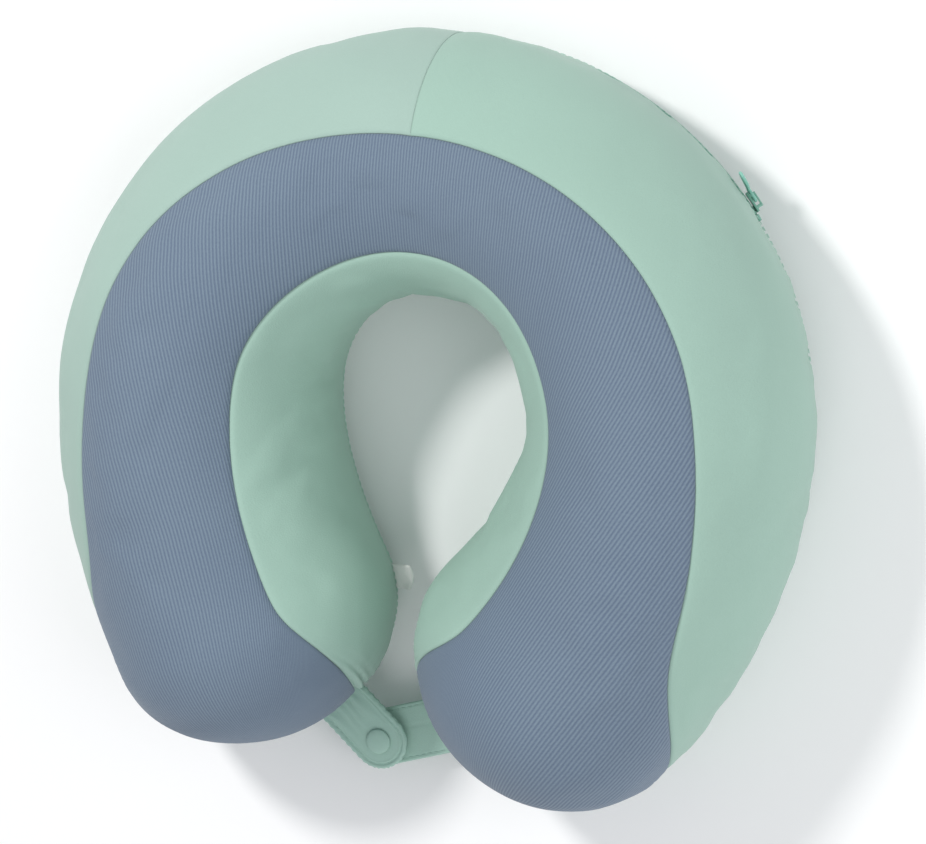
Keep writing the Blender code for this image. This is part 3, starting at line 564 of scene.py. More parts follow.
def rib_cut(section, rows):
    """Rib-knit cloth: across the ribs, then along them. The ribs lean in along each arm."""
    x, y = section.flat(section.crest - rows).T
    lean = np.logaddexp(0, (RIB_TURN_Y - y) / RIB_TURN_WIDTH) * RIB_TURN_WIDTH
    right = 0.5 + 0.5 * np.tanh(x / 0.03)
    slope = RIB_LEAN[1] * right + RIB_LEAN[-1] * (1 - right)
    return np.column_stack((np.arcsinh((x + lean * slope) / RIB_STRETCH) * RIB_STRETCH, y))


def base_cut(section, rows):
    return section.flat(rows)


def wall_columns(columns):
    """The sections up to a wall panel's pointed end."""
    kept = []
    for section in columns:
        kept.append(section)
        if section.top_seam - section.base_seam < 0.0009:
            break
    return kept


def base_edge(section):
    return section.base_seam + zip_gap(section.ray)


def base_edge_below(section):
    return section.base_seam - zip_gap(section.ray)


def half_loop(side, outer):
    """The sections of one wall, from the back to its pointed end on the tip."""
    if outer:
        return wall_columns(OUTER[side] + CAPS[side])
    return wall_columns(INNER[side] + CAPS[side][::-1])


def make_panels():
    """Every sewn panel of the cover."""
    crest = Section.crest_run
    top = seam_panel("rib_knit_top", LOOP, Section.top_run, crest, "top", True, rib_cut)
    right = seam_panel("mint_side_right", half_loop(1, True), base_edge, Section.top_run, "outer")
    left = seam_panel("mint_side_left", half_loop(-1, True), base_edge, Section.top_run, "outer")
    neck_columns = half_loop(1, False)[::-1] + half_loop(-1, False)[1:]
    neck = seam_panel("mint_neck_wall", neck_columns, base_edge, Section.top_run, "inner")
    base = seam_panel("mint_base", LOOP, Section.start_run, base_edge_below, "base", True, base_cut)
    return {"top": top, "right": right, "left": left, "neck": neck, "base": base}


# ---------------------------------------------------------------- materials


class Value:
    """A number carried by a shader socket, so that patterns are written as plain sums."""

    def __init__(self, nodes, socket):
        self.nodes = nodes
        self.socket = socket

    def __add__(self, other):
        return self.nodes.maths("ADD", self, other)

    def __radd__(self, other):
        return self.nodes.maths("ADD", other, self)

    def __sub__(self, other):
        return self.nodes.maths("SUBTRACT", self, other)

    def __rsub__(self, other):
        return self.nodes.maths("SUBTRACT", other, self)

    def __mul__(self, other):
        return self.nodes.maths("MULTIPLY", self, other)

    def __rmul__(self, other):
        return self.nodes.maths("MULTIPLY", other, self)

    def __pow__(self, other):
        return self.nodes.maths("POWER", self, other)


class Nodes:
    """Builds one material's node tree."""

    def __init__(self, name):
        self.material = bpy.data.materials.new(name)
        self.material.use_nodes = True
        self.tree = self.material.node_tree
        self.shader = self.tree.nodes["Principled BSDF"]

    def put(self, socket, value):
        if isinstance(value, Value):
            value = value.socket
        if isinstance(value, bpy.types.NodeSocket):
            self.tree.links.new(value, socket)
        else:
            socket.default_value = value

    def node(self, kind, sockets=None, **settings):
        made = self.tree.nodes.new(kind)
        for name, value in settings.items():
            setattr(made, name, value)
        for key, value in (sockets or {}).items():
            self.put(made.inputs[key], value)
        return made

    def maths(self, operation, *values):
        made = self.node("ShaderNodeMath", dict(enumerate(values)), operation=operation)
        return Value(self, made.outputs[0])

    def sine(self, value):
        return self.maths("SINE", value)

    def clamp(self, value):
        return self.maths("MAXIMUM", self.maths("MINIMUM", value, 1.0), 0.0)

    def mix(self, share, one, other):
        made = self.node("ShaderNodeMix", {0: share, 6: one, 7: other}, data_type="RGBA")
        return made.outputs[2]

    def cloth_uv(self):
        source = self.node("ShaderNodeUVMap", uv_map="cloth")
        parts = self.node("ShaderNodeSeparateXYZ", {0: source.outputs[0]})
        return Value(self, parts.outputs[0]), Value(self, parts.outputs[1])

    def place(self):
        return self.node("ShaderNodeTexCoord").outputs["Object"]

    def stretched(self, across, along):
        """A place on the cloth scaled separately across and along its grain."""
        return self.node("ShaderNodeCombineXYZ", {0: across, 1: along}).outputs[0]

    def grain(self, vector, scale, detail=2.0):
        made = self.node("ShaderNodeTexNoise", {"Vector": vector, "Scale": scale, "Detail": detail})
        return Value(self, made.outputs[0])

    def bump(self, height, distance, strength=1.0, under=None):
        sockets = {"Height": height, "Distance": distance, "Strength": strength}
        if under is not None:
            sockets["Normal"] = under
        return self.node("ShaderNodeBump", sockets).outputs[0]

    def finish(self, **sockets):
        for name, value in sockets.items():
            self.put(self.shader.inputs[name.replace("_", " ").title()], value)
        return self.material


def colour(red, green, blue):
    """A linear colour from its screen values, 0 to 255."""
    channels = [value / 255 for value in (red, green, blue)]
    return (*[v / 12.92 if v <= 0.04045 else ((v + 0.055) / 1.055) ** 2.4 for v in channels], 1.0)


def rib_knit_look():
    """Blue-grey knit with raised ribs, their grooves darkened with painted shade, and a faint stitch rhythm
    along each.
    """
    nodes = Nodes("rib_knit")
    across, along = nodes.cloth_uv()
    wander = (nodes.grain(nodes.place(), 60.0) - 0.5) * 0.0004
    turn = (across + wander) * (2 * math.pi / RIB_PITCH)
    ridge = nodes.sine(turn) * 0.5 + 0.5
    stitch = nodes.sine(along * (2 * math.pi / 0.0009) + nodes.sine(turn) * 2.0) * 0.5 + 0.5
    heather = nodes.grain(nodes.stretched(across, along * 0.45), 2400.0, 3.0)
    cloud = nodes.grain(nodes.place(), 22.0)
    # The rib wave makes the crests paler and the grooves darker: painted shade. Heather and cloud are the
    # knit's own uneven tone.
    shade = nodes.clamp(ridge * 0.78 + (heather - 0.5) * 0.9 + (cloud - 0.5) * 0.25 + 0.06)
    base = nodes.mix(shade, colour(93, 109, 131), colour(122, 139, 154))
    height = ridge**0.7 + stitch * 0.10 + heather * 0.15
    return nodes.finish(
        base_color=base,
        roughness=0.92,
        normal=nodes.bump(height, 0.0004, 0.35),
        sheen_weight=0.12,
        sheen_roughness=0.5,
    )


def jersey_look(name, tone):
    """Smooth stretch knit with a very fine wale and a soft sheen."""
    nodes = Nodes(name)
    across, along = nodes.cloth_uv()
    wale = nodes.grain(nodes.stretched(across * 2.2, along * 0.8), 1500.0, 2.0)
    cloud = nodes.grain(nodes.place(), 16.0)
    shade = nodes.clamp(wale * 0.55 + cloud * 0.45)
    dark = tuple(value * 0.87 for value in tone[:3]) + (1.0,)
    light = tuple(min(value * 1.09, 1.0) for value in tone[:3]) + (1.0,)
    return nodes.finish(
        base_color=nodes.mix(shade, dark, light),
        roughness=0.88,
        normal=nodes.bump(wale + cloud * 0.4, 0.00025, 0.5),
        sheen_weight=0.14,
        sheen_roughness=0.45,
    )


def foam_look():
    nodes = Nodes("memory_foam")
    pores = nodes.grain(nodes.place(), 900.0, 4.0)
    return nodes.finish(
        base_color=nodes.mix(pores, colour(214, 204, 180), colour(244, 238, 220)),
        roughness=0.95,
        normal=nodes.bump(pores, 0.0006, 0.7),
    )


def woven_look(name, tone, pitch):
    """Narrow woven tape: short floats that cross over and under, painted darker where they pass under as
    painted shade.
    """
    nodes = Nodes(name)
    across, along = nodes.cloth_uv()
    over = nodes.sine(across * (2 * math.pi / pitch)) * nodes.sine(along * (2 * math.pi / pitch))
    # The colour darkens where the threads pass under: painted shade in the weave's hollows.
    shade = nodes.clamp(over * 0.5 + 0.5)
    dark = tuple(value * 0.78 for value in tone[:3]) + (1.0,)
    return nodes.finish(
        base_color=nodes.mix(shade, dark, tone), roughness=0.85, normal=nodes.bump(shade, 0.0002, 0.6)
    )


def plain_look(name, tone, roughness, metallic=0.0, coat=0.0, wear=0.04):
    nodes = Nodes(name)
    uneven = nodes.grain(nodes.place(), 400.0)
    return nodes.finish(
        base_color=tone,
        roughness=nodes.clamp(uneven * wear + (roughness - wear / 2)),
        metallic=metallic,
        coat_weight=coat,
        normal=nodes.bump(uneven, 0.00005, 0.3),
    )


MINT = colour(158, 189, 176)
LOOKS = {
    "rib": rib_knit_look(),
    "mint": jersey_look("side_knit", MINT),
    # The left side panel takes a lighter copy of the side knit: painted light where the key light falls on
    # that half.
    "mint_painted_lit_left": jersey_look("side_knit_painted_lit_left", colour(161, 187, 177)),
    "base": jersey_look("base_knit", tuple(v * 0.95 for v in MINT[:3]) + (1.0,)),
    "strap": jersey_look("strap_knit", colour(172, 206, 193)),
    "foam": foam_look(),
    "tape": woven_look("zip_tape", colour(132, 174, 160), 0.0009),
    "coil": plain_look("zip_coil", colour(120, 168, 152), 0.45),
    "lacquer": plain_look("zip_lacquer", colour(122, 178, 160), 0.35, 0.0, 0.4),
    "rubber": plain_look("puller_rubber", colour(140, 200, 184), 0.5),
    "steel": plain_look("snap_steel", colour(196, 198, 200), 0.28, 1.0),
    "label": woven_look("label_tape", colour(254, 254, 252), 0.0006),
    "thread": plain_look("sewing_thread", colour(176, 208, 196), 0.8),
    "floor": plain_look("studio_floor", colour(249, 249, 250), 0.9),
}


def paint(piece, look):
    """Gives a piece its material, in place of any it had."""
    piece.data.materials.clear()
    piece.data.materials.append(LOOKS[look])
    return piece


# ---------------------------------------------------------------- thread, teeth and other repeated shapes


def small_mesh(name, length, width, height, look, segments=6, rings=4):
    """A short, round-ended bar that lies along X, the shape of one stitch or one coil tooth."""
    data = bpy.data.meshes.new(name)
    made = bmesh.new()
    bmesh.ops.create_uvsphere(made, u_segments=segments, v_segments=rings, radius=0.5)
    for vert in made.verts:
        x, y, z = vert.co.z, vert.co.y, vert.co.x
        vert.co = (math.copysign(abs(x * 2) ** 0.6 / 2, x) * length, y * width, z * height)
    made.normal_update()
    bmesh.ops.recalc_face_normals(made, faces=made.faces)
    made.to_mesh(data)
    made.free()
    data.shade_smooth()
    data.materials.append(LOOKS[look])
    piece = bpy.data.objects.new(name, data)
    bpy.context.scene.collection.objects.link(piece)
    return piece


def row_nodes():
    """Geometry nodes that set copies of one shape along a path, turned to lie on the cloth."""
    tree = bpy.data.node_groups.new("row_along_path", "GeometryNodeTree")
    interface = tree.interface
    interface.new_socket("Path", in_out="INPUT", socket_type="NodeSocketGeometry")
    interface.new_socket("Shape", in_out="INPUT", socket_type="NodeSocketObject")
    pitch = interface.new_socket("Pitch", in_out="INPUT", socket_type="NodeSocketFloat")
    pitch.default_value = 0.003
    turn = interface.new_socket("Turn", in_out="INPUT", socket_type="NodeSocketFloat")
    turn.default_value = 0.0
    interface.new_socket("Material", in_out="INPUT", socket_type="NodeSocketMaterial")
    interface.new_socket("Row", in_out="OUTPUT", socket_type="NodeSocketGeometry")

    def node(kind, **settings):
        made = tree.nodes.new(kind)
        for name, value in settings.items():
            setattr(made, name, value)
        return made

    link = tree.links.new
    entry, leave = node("NodeGroupInput"), node("NodeGroupOutput")
    curve = node("GeometryNodeMeshToCurve")
    link(entry.outputs["Path"], curve.inputs[0])
    even = node("GeometryNodeResampleCurve", mode="LENGTH")
    link(curve.outputs[0], even.inputs["Curve"])
    link(entry.outputs["Pitch"], even.inputs["Length"])
    outward = node("GeometryNodeInputNamedAttribute", data_type="FLOAT_VECTOR")
    outward.inputs["Name"].default_value = "outward"
    tangent = node("GeometryNodeInputTangent")
    lie = node("FunctionNodeAlignRotationToVector", axis="X")
    link(tangent.outputs[0], lie.inputs["Vector"])
    stand = node("FunctionNodeAlignRotationToVector", axis="Z", pivot_axis="X")
    link(lie.outputs[0], stand.inputs["Rotation"])
    link(outward.outputs["Attribute"], stand.inputs["Vector"])
    lean = node("ShaderNodeCombineXYZ")
    link(entry.outputs["Turn"], lean.inputs["Z"])
    turned = node("FunctionNodeRotateRotation", rotation_space="LOCAL")
    link(stand.outputs[0], turned.inputs[0])
    link(lean.outputs[0], turned.inputs[1])
    shape = node("GeometryNodeObjectInfo", transform_space="ORIGINAL")
    link(entry.outputs["Shape"], shape.inputs["Object"])
    copies = node("GeometryNodeInstanceOnPoints")
    link(even.outputs[0], copies.inputs["Points"])
    link(shape.outputs["Geometry"], copies.inputs["Instance"])
    link(turned.outputs[0], copies.inputs["Rotation"])
    real = node("GeometryNodeRealizeInstances")
    link(copies.outputs[0], real.inputs[0])
    coat = node("GeometryNodeSetMaterial")
    link(real.outputs[0], coat.inputs["Geometry"])
    link(entry.outputs["Material"], coat.inputs["Material"])
    link(coat.outputs[0], leave.inputs["Row"])
    return tree


ROW = row_nodes()


def row_along(name, paths, shape, pitch, look, turn=0.0):
    """A plain mesh of copies of `shape` set every `pitch` along paths of (points, outward normals)."""
    data = bpy.data.meshes.new(name)
    points, edges, outwards = [], [], []
    for line, normals in paths:
        first = len(points)
        points += [tuple(point) for point in line]
        outwards += [tuple(normal) for normal in normals]
        edges += [(first + index, first + index + 1) for index in range(len(line) - 1)]
    data.from_pydata(points, edges, [])
    layer = data.attributes.new("outward", "FLOAT_VECTOR", "POINT")
    layer.data.foreach_set("vector", np.array(outwards, float).ravel())
    piece = bpy.data.objects.new(name, data)
    bpy.context.scene.collection.objects.link(piece)
    rows = piece.modifiers.new("row", "NODES")
    rows.node_group = ROW
    given = {"Shape": shape, "Pitch": pitch, "Turn": turn, "Material": LOOKS[look]}
    for item in ROW.interface.items_tree:
        if item.in_out == "INPUT" and item.name in given:
            rows[item.identifier] = given[item.name]
    bpy.context.view_layer.update()
    plain = bpy.data.meshes.new_from_object(piece.evaluated_get(bpy.context.evaluated_depsgraph_get()))
    piece.modifiers.clear()
    piece.data = plain
    plain.shade_smooth()
    return piece


def seam_path(columns, run_of, away, lift=0.0):
    """Points and normals along a seam, `away` from it along each section."""
    points, normals, insets = [], [], []
    for section in columns:
        place, outward = section.at(np.array([run_of(section) + away]))
        points.append(place[0])
        normals.append(outward[0])
        insets.append(float(seam_inset(abs(away))) - lift)
    return settle(np.array(points), np.array(normals), np.array(insets)), normals


def make_stitches():
    """Topstitching beside the cover's mint seams."""
    stitch = small_mesh("one_stitch", STITCH_LENGTH, THREAD, THREAD, "thread")
    paths = []
    for side in (1, -1):
        walls = half_loop(side, True)
        paths.append(seam_path(walls[6:-2], base_edge, STITCH_INSET, STITCH_LIFT))
        neck = half_loop(side, False)
        paths.append(seam_path(neck[:-3], base_edge, STITCH_INSET, STITCH_LIFT))
    paths.append(seam_path(LOOP, base_edge_below, -STITCH_INSET, STITCH_LIFT))
    rows = row_along("mint_topstitching", paths, stitch, STITCH_PITCH, "thread")
    bpy.data.objects.remove(stitch)
    return rows


# ---------------------------------------------------------------- zip

ZIP_SECTION = Section(side_ray(1, 0.0, 1))


def zip_frame(angle):
    """Place and directions on the outer base seam: travel towards the open end, up the side, and out."""
    section = ZIP_SECTION
    reach = np.interp(section.base_seam, section.run, section.reach)
    across = float(np.interp(section.base_seam, section.run, section.across))
    up = float(np.interp(section.base_seam, section.run, section.up))
    radius = OUTER_RADIUS - (section.ray.reach - reach)
    away = np.array((math.sin(angle), math.cos(angle), 0.0))
    travel = np.array((-math.cos(angle), math.sin(angle), 0.0))
    out = away * across + np.array((0, 0, up))
    rise = np.array((0, 0, across)) - away * up
    place = away * radius + np.array((CENTRE[0], CENTRE[1] - OUTER_CENTRE_OFFSET, BASE_SEAM_HEIGHT))
    return place, travel, rise, out


def zip_angles(first, last, count=240):
    return np.linspace(first, last, count)


def zip_ribbon(name, angles, profile, look):
    """A closed strip swept along the zip from (rise, out) corners of its cross-section."""
    points, uv = [], []
    for angle in angles:
        place, _, rise, out = zip_frame(angle)
        for offset, height in profile:
            points.append(place + rise * offset + out * height)
            uv.append((angle * OUTER_RADIUS, offset))
    count = len(profile)
    faces = []
    for index in range(len(angles) - 1):
        for corner in range(count):
            after = (corner + 1) % count
            one, other = index * count, (index + 1) * count
            faces.append((one + corner, one + after, other + after, other + corner))
    faces.append(tuple(range(count)))
    faces.append(tuple(range((len(angles) - 1) * count, len(angles) * count)))
    piece = new_mesh(name, points, faces, uv, merge=False)
    outward_faces(piece.data)
    return paint(piece, look)


def outward_faces(data):
    made = bmesh.new()
    made.from_mesh(data)
    bmesh.ops.recalc_face_normals(made, faces=made.faces)
    if made.calc_volume(signed=True) < 0:
        bmesh.ops.reverse_faces(made, faces=made.faces)
    made.to_mesh(data)
    made.free()


def make_zip():
    """Tapes, coil rows with their teeth, and end stops."""
    pieces = []
    ends = (ZIP_OPEN_ANGLE - 0.002, ZIP_CLOSED_ANGLE + 0.002)
    chain = (ZIP_OPEN_ANGLE + STOP_LENGTH / OUTER_RADIUS, ZIP_CLOSED_ANGLE - STOP_LENGTH / OUTER_RADIUS)
    for name, sign in (("upper", 1), ("lower", -1)):
        near, edge, far = 0.0004 * sign, 0.0050 * sign, 0.0068 * sign
        profile = [(near, -0.0013), (edge, -0.0016), (far, -0.0036), (far, -0.0041)]
        profile += [(edge, -0.0022), (near, -0.0019)]
        node = "zip_tape_" + name
        tape = zip_ribbon(node + "_weave", zip_angles(*ends), profile, "tape")
        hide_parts(node)
        pieces.append(tape)
        cord = []
        for turn in np.linspace(0, 2 * math.pi, 9)[:-1]:
            height = -CHAIN_THICKNESS / 2 + CORD_RADIUS * math.sin(turn)
            cord.append((sign * (CORD_OFFSET + CORD_RADIUS * math.cos(turn)), height))
        row = zip_ribbon("zip_coil_cord_" + name, zip_angles(*chain), cord, "coil")
        pieces.append(row)
        tooth = small_mesh("one_tooth", *TOOTH_SIZE, "coil", 8, 6)
        line, normals = [], []
        for angle in zip_angles(*chain):
            place, _, rise, out = zip_frame(angle + sign * 0.25 * TOOTH_PITCH / OUTER_RADIUS)
            line.append(place + rise * (sign * 0.0008) + out * -0.0005)
            normals.append(out)
        path = [(line, normals)]
        teeth = row_along("zip_coil_teeth_" + name, path, tooth, TOOTH_PITCH, "coil", TOOTH_LEAN)
        bpy.data.objects.remove(tooth)
        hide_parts("zip_teeth_" + name)
        pieces.append(teeth)
    for name, angle, sign in (("closed", ZIP_CLOSED_ANGLE, -1), ("open", ZIP_OPEN_ANGLE, 1)):
        span = sorted((angle, angle + sign * (STOP_LENGTH - STOP_PLAY) / OUTER_RADIUS))
        shape = rounded_profile(0.0024, 0.0004, -CHAIN_THICKNESS)
        stop = zip_ribbon(f"zip_stop_{name}_clamp", zip_angles(*span, 6), shape, "lacquer")
        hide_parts(f"zip_stop_{name}_end")
        pieces.append(stop)
    return pieces


def rounded_profile(half, high, low):
    """A flat bar's cross-section with round edges."""
    middle, tall = (high + low) / 2, (high - low) / 2
    points = []
    for sign in (1, -1):
        for turn in np.linspace(-math.pi / 2, math.pi / 2, 6):
            across = sign * (half - tall + tall * math.cos(turn))
            points.append((across, middle + sign * tall * math.sin(turn)))
    return points


def soften(piece, width, segments=3):
    """Rounds a piece's hard edges."""
    bevel = piece.modifiers.new("round_edges", "BEVEL")
    bevel.width = width
    bevel.segments = segments
    bevel.limit_method = "ANGLE"
    bevel.angle_limit = math.radians(25)
    return piece


def copied(node, name, look):
    """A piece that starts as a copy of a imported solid's mesh, for a finer finish."""
    source = frame["nodes"][node]
    data = source.data.copy()
    piece = bpy.data.objects.new(name, data)
    bpy.context.scene.collection.objects.link(piece)
    made = bmesh.new()
    made.from_mesh(data)
    bmesh.ops.remove_doubles(made, verts=made.verts, dist=1e-6)
    bmesh.ops.dissolve_limit(made, angle_limit=math.radians(1), verts=made.verts, edges=made.edges)
    made.to_mesh(data)
    made.free()
    data.shade_smooth()
    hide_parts(node)
    return paint(piece, look)


# ---------------------------------------------------------------- closure tabs, snap and label


def joint_place(name):
    return np.array(joints[name]["pos_m"], float)


def snap_axis():
    low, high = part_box("snap_cap")
    return np.array(((low[0] + high[0]) / 2, (low[1] + high[1]) / 2))


def node_heights(node):
    low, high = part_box(node)
    return low[2], high[2]


def tab_piece(name, root_node, node, hinge, puffed):
    """One sewn strap from inside the tip's seam to its round end about the snap."""
    pivot = joint_place(hinge)[:2]
    end = snap_axis()
    way = (end - pivot) / np.linalg.norm(end - pivot)
    across = np.array((-way[1], way[0]))
    low, high = node_heights(node)
    middle, half = (low + high) / 2, TAB_WIDTH / 2
    reach = float((end - pivot) @ way)
    straight = np.linspace(STRAP_TUCKED, reach, 46)
    turns = np.linspace(-math.pi / 2, math.pi / 2, 44)[1:-1]
    rim = [(run, 0.0, run, -half) for run in straight]
    rim += [(reach, 0.0, reach + half * math.cos(turn), half * math.sin(turn)) for turn in turns]
    rim += [(run, 0.0, run, half) for run in straight[::-1]]
    shares = np.concatenate((np.linspace(0, 0.72, 12), np.linspace(0.745, 1.0, 22)))
    points, uv = [], []
    for run0, side0, run1, side1 in rim:
        outline = math.hypot(run1 - run0, side1 - side0)
        scallop = 0.00022 * math.sin((run1 + side1 * 1.3) * 2 * math.pi / 0.0034) if puffed else 0.0
        for face in (1, -1):
            for share in shares if face > 0 else shares[::-1]:
                width = share * (outline + scallop * smooth((share - 0.8) * 5))
                run = run0 + (run1 - run0) / outline * width
                side = side0 + (side1 - side0) / outline * width
                edge = (1 - share) * outline
                thick = tab_thickness(run, side, edge, face, puffed, high - low, reach)
                plan = pivot + way * run + across * side
                points.append((plan[0], plan[1], middle + face * thick))
                uv.append((run, side))
    rows = 2 * len(shares)
    count = len(rim)
    faces = list(grid_faces(count, rows))
    piece = new_mesh(name, points, faces, np.array(uv))
    close_strap(piece)
    paint(piece, "strap")
    fold = np.array((*way, 0)) * STRAP_FOLD
    ends = [joint_place(hinge) - fold, joint_place(hinge) + fold]
    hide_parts(root_node, node)
    return piece, ends, (pivot, way, across, reach, middle, half)


def tab_thickness(run, side, edge, face, puffed, full, reach):
    """Half the strap's thickness: a rolled rim, a stitched groove, a soft field and pleats at its root."""
    half = full / 2
    rolled = math.sqrt(max(1 - (1 - min(edge / 0.0011, 1.0)) ** 2, 0.0))
    thick = half * (0.25 + 0.75 * rolled) if puffed else half * (0.35 + 0.5 * rolled)
    thick *= rolled**0.3 if edge < 0.0011 else 1.0
    if puffed:
        groove = math.exp(-(((edge - 0.0021) / 0.00045) ** 2))
        second = math.exp(-(((edge - 0.0036) / 0.0004) ** 2))
        thick -= 0.00042 * groove + 0.0002 * second
        pleat = math.exp(-max(run + 0.002, 0.0) / 0.007)
        if face > 0:
            fold = math.sin(side * 1450 + 1.3 * math.sin(side * 420 + run * 120))
            thick += 0.00055 * pleat * fold * smooth(edge / 0.002)
            dimple = math.exp(-(((run - reach) / 0.0045) ** 2) - ((side + 0.001) / 0.0016) ** 2)
            thick -= 0.0005 * dimple
    else:
        crease = math.exp(-(((side + 0.001 + run * 0.05) / 0.0006) ** 2))
        thick -= 0.0002 * crease * face
        thick -= 0.00018 * math.exp(-(((edge - 0.0016) / 0.0004) ** 2))
    return max(thick, 0.0)


def close_strap(piece):
    """Closes a strap's tucked end and turns its faces out."""
    made = bmesh.new()
    made.from_mesh(piece.data)
    bmesh.ops.holes_fill(made, edges=[edge for edge in made.edges if edge.is_boundary])
    bmesh.ops.recalc_face_normals(made, faces=made.faces)
    top = max(made.faces, key=lambda face: face.calc_center_median().z)
    if top.normal.z < 0:
        bmesh.ops.reverse_faces(made, faces=made.faces)
    made.to_mesh(piece.data)
    made.free()


def tab_stitches(name, inset, facts, lift, stitch):
    """A row of stitches that follows the strap's edge on its upper face."""
    pivot, way, across, reach, middle, half = facts
    line = []
    for run in np.linspace(-0.001, reach, 30):
        line.append((run, -(half - inset)))
    for turn in np.linspace(-math.pi / 2, math.pi / 2, 30)[1:-1]:
        line.append((reach + (half - inset) * math.cos(turn), (half - inset) * math.sin(turn)))
    for run in np.linspace(reach, -0.001, 30):
        line.append((run, half - inset))
    points = [(*(pivot + way * run + across * side), middle + lift) for run, side in line]
    normals = [(0, 0, 1)] * len(points)
    return row_along(name, [(points, normals)], stitch, STRAP_STITCH_PITCH, "thread")


def lathe(name, profile, look, segments=48):
    """A turned body about the snap's axis from (radius, height) points."""
    place = snap_axis()
    points = []
    turns = np.linspace(0, 2 * math.pi, segments + 1)[:-1]
    for turn in turns:
        for radius, height in profile:
            points.append((place[0] + radius * math.cos(turn), place[1] + radius * math.sin(turn), height))
    piece = new_mesh(name, points, grid_faces(segments, len(profile), True))
    outward_faces(piece.data)
    piece.data.set_sharp_from_angle(angle=math.radians(40))
    return paint(piece, look)


def arc(centre_radius, centre_height, size, first, last, count=7):
    """Points of a round stretch of a turned profile."""
    turns = np.linspace(math.radians(first), math.radians(last), count)
    return [(centre_radius + size * math.cos(t), centre_height + size * math.sin(t)) for t in turns]


def make_snap():
    """Fabric-covered cap, socket with its spring ring, stud and backing rivet."""
    low, high = node_heights("snap_cap")
    radius = (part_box("snap_cap")[1][0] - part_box("snap_cap")[0][0]) / 2
    turns = np.linspace(0, 1.4, 12)
    dome = [(radius * math.sin(t), low + 0.0004 + (high - low - 0.0004) * math.cos(t)) for t in turns]
    hem = [(radius, low + 0.0003), (radius - 0.0003, low), (0.0, low)]
    cap = lathe("covered_snap_cap", dome + hem, "strap")
    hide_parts("snap_cap")
    low, high = node_heights("snap_socket")
    hole = 0.0025
    ring = [(hole, low + 0.0002), (hole + 0.0002, low), (radius - 0.0003, low)]
    ring += arc(radius - 0.0003, low + 0.0003, 0.0003, -90, 0, 4)
    ring += arc(radius - 0.0007, high - 0.0004, 0.0004, 0, 90, 4)
    ring += [(hole + 0.0009, high), (hole + 0.0006, high - 0.0003)]
    ring += [(hole + 0.0001, high - 0.0003), (hole, high - 0.0005)]
    ring.append(ring[0])
    socket = lathe("snap_socket_ring", ring, "steel")
    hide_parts("snap_socket")
    low, high = node_heights("snap_stud")
    post = [(0.0, high), (0.0011, high), (0.0016, high - 0.00025)]
    post += [(0.0019, high - 0.0006), (0.0017, high - 0.0010)]
    post += [(0.0016, low + 0.0007), (0.0019, low + 0.0005), (radius - 0.0002, low + 0.00045)]
    post += [(radius, low + 0.00025), (radius - 0.0002, low), (0.0, low)]
    stud = lathe("snap_stud_post", post, "steel")
    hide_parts("snap_stud")
    low, high = node_heights("snap_rivet")
    back = [(0.0, high), (radius - 0.0001, high), (radius, high - 0.0002), (radius * 0.9, low + 0.0002)]
    back += [(radius * 0.6, low), (0.0012, low), (0.0010, low + 0.0002), (0.0, low + 0.0002)]
    rivet = lathe("snap_back_rivet", back, "steel")
    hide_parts("snap_rivet")
    return {"front_tab": [cap, socket], "rear_tab": [stud, rivet]}


def make_label():
    """A blank satin tape, folded double and curled, that stands out of the neck wall's base seam."""
    low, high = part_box("care_label")
    middle = np.array(((low[0] + high[0]) / 2, (low[1] + high[1]) / 2, (low[2] + high[2]) / 2))
    section = CAPS[-1][-8]
    out = np.array((*section.ray.out, 0.0))
    across = np.array((-out[1], out[0], 0.0))
    profile = []
    for share in np.linspace(0, 1, 14):
        profile.append((-0.0060 + 0.0090 * share, 0.0006 * math.sin(share * 2.4)))
    for turn in np.linspace(-80, 80, 9):
        angle = math.radians(turn)
        profile.append((0.0030 + 0.0006 * math.cos(angle), 0.0009 + 0.0005 * math.sin(angle)))
    for share in np.linspace(1, 0, 14):
        profile.append((-0.0060 + 0.0090 * share, 0.0013 + 0.0005 * math.sin(share * 2.4)))
    points, uv = [], []
    widths = np.linspace(-0.5, 0.5, 12)
    for width in widths:
        for run, rise in profile:
            curl = 0.0022 * (width * 2) ** 2 * smooth((run + 0.002) / 0.006)
            up = np.array((0, 0, rise + curl))
            points.append(middle + out * (run - curl * 0.3) + across * width * LABEL_WIDTH + up)
            uv.append((run, width * LABEL_WIDTH))
    piece = new_mesh("blank_care_label", points, grid_faces(len(widths), len(profile)), np.array(uv))
    tape = piece.modifiers.new("tape_thickness", "SOLIDIFY")
    tape.thickness = LABEL_THICKNESS
    tape.offset = 0
    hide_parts("care_label")
    return paint(piece, "label")


def make_foam():
    """The moulded foam inside the cover."""
    points = []
    count = 32
    for section in LOOP:
        place, outward = section.at(np.linspace(0, section.crest, count))
        points.append(place - outward * FOAM_INSET)
    piece = new_mesh("moulded_foam", np.concatenate(points), grid_faces(len(LOOP), count, True))
    outward_faces(piece.data)
    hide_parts("foam_core")
    return paint(piece, "foam")


# ---------------------------------------------------------------- the whole pillow


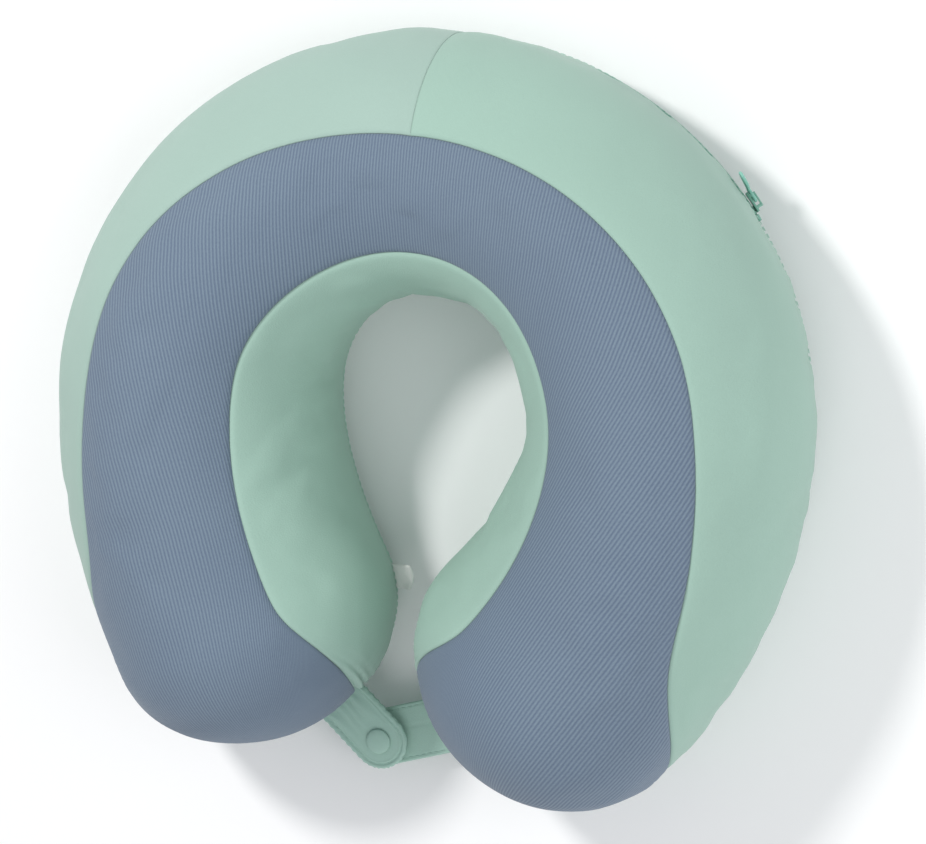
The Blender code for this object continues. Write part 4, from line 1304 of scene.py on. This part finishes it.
def dress():
    """Makes every piece, and hangs each but the straps and their stitching on the body that carries it."""
    panels = make_panels()
    # The left side panel wears the lighter copy of the side knit, which is painted light.
    looks = {"top": "rib", "right": "mint", "left": "mint_painted_lit_left", "neck": "mint", "base": "base"}
    nodes = {
        "top": "top_panel",
        "right": "outer_panel_right",
        "left": "outer_panel_left",
        "neck": "inner_panel",
        "base": "bottom_panel",
    }
    for part, piece in panels.items():
        paint(piece, looks[part])
        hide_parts(nodes[part])
        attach(piece, "cover")
    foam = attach(make_foam(), "cover")
    for piece in make_zip() + [make_stitches(), make_label()]:
        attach(piece, "cover")
    slider = soften(copied("zip_slider", "zip_slider_cast", "lacquer"), SLIDER_EDGE)
    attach(slider, "zip_slider")
    puller = soften(copied("zip_puller", "zip_puller_blade", "rubber"), PULLER_EDGE)
    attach(puller, "zip_puller")
    stitch = small_mesh("one_strap_stitch", STRAP_STITCH_LENGTH, THREAD, THREAD, "thread")
    tabs = (
        ("front_strap", "closure_tab_front", "front_tab_lift", "front_tab", True),
        ("rear_strap", "closure_tab_rear", "rear_tab_drop", "rear_tab", False),
    )
    for name, node, hinge, body, puffed in tabs:
        strap, ends, facts = tab_piece(name, node + "_root", node, hinge, puffed)
        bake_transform(strap)
        lift = 0.00075 if puffed else 0.0007
        inset = 0.0021 if puffed else 0.0016
        rows = tab_stitches(name + "_stitches", inset, facts, lift, stitch)
        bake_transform(rows)
    bpy.data.objects.remove(stitch)
    for body, made in make_snap().items():
        for piece in made:
            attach(piece, body)


# ---------------------------------------------------------------- studio

CAMERA_TURN = math.radians(17.81)
CAMERA_TILT = math.radians(11.58)
CAMERA_ROLL = math.radians(4.37)
CAMERA_DISTANCE = 1.05506
CAMERA_TARGET = Vector((0.01572, 0.00358, 0.045))
LENS_OVER_WIDTH = 2.93582


def area_light(name, direction, distance, size, power, tint=(1, 1, 1)):
    light = bpy.data.lights.new(name, "AREA")
    light.shape = "DISK"
    light.size = size
    light.energy = power
    light.color = tint
    lamp = bpy.data.objects.new(name, light)
    lamp.location = Vector(direction).normalized() * distance
    lamp.rotation_mode = "QUATERNION"
    lamp.rotation_quaternion = Vector(direction).to_track_quat("Z", "Y")
    bpy.context.scene.collection.objects.link(lamp)


def make_studio():
    """Pale floor, even sky, one soft key from behind and the left, and fills from the right and the front."""
    data = bpy.data.meshes.new("studio_floor")
    wide, down = FLOOR_HALF_WIDTH, FLOOR_HEIGHT
    corners = [(-wide, -wide, down), (wide, -wide, down), (wide, wide, down), (-wide, wide, down)]
    data.from_pydata(corners, [], [(0, 1, 2, 3)])
    floor = bpy.data.objects.new("studio_floor", data)
    bpy.context.scene.collection.objects.link(floor)
    paint(floor, "floor")
    world = bpy.data.worlds.new("studio")
    world.use_nodes = True
    sky = world.node_tree.nodes["Background"]
    sky.inputs["Color"].default_value = (0.96, 0.98, 1.0, 1.0)
    sky.inputs["Strength"].default_value = 0.50
    bpy.context.scene.world = world
    area_light("key", (-0.42, 0.46, 0.8), 1.1, 0.16, 6.4, (1.0, 0.99, 0.97))
    area_light("right_fill", (0.9, 0.1, 0.7), 1.3, 1.1, 5.5)
    area_light("front_fill", (0.3, -0.8, 0.8), 1.3, 0.9, 2.8)
    bpy.context.scene.view_settings.view_transform = "Standard"


def make_camera():
    lens = bpy.data.cameras.new("camera")
    lens.sensor_width = 36.0
    lens.lens = LENS_OVER_WIDTH * lens.sensor_width
    lens.clip_start = 0.01
    back = Vector(
        (
            math.sin(CAMERA_TURN) * math.cos(CAMERA_TILT),
            math.sin(CAMERA_TILT),
            math.cos(CAMERA_TURN) * math.cos(CAMERA_TILT),
        )
    )
    right = Vector((math.cos(CAMERA_TURN), 0, -math.sin(CAMERA_TURN)))
    up = back.cross(right)
    x_axis = right * math.cos(CAMERA_ROLL) + up * math.sin(CAMERA_ROLL)
    y_axis = up * math.cos(CAMERA_ROLL) - right * math.sin(CAMERA_ROLL)
    camera = bpy.data.objects.new("camera", lens)
    turned = Matrix((x_axis, y_axis, back)).transposed().to_4x4()
    camera.matrix_world = Matrix.Translation(CAMERA_TARGET + back * CAMERA_DISTANCE) @ turned
    bpy.context.scene.collection.objects.link(camera)
    bpy.context.scene.camera = camera


dress()
make_studio()
make_camera()
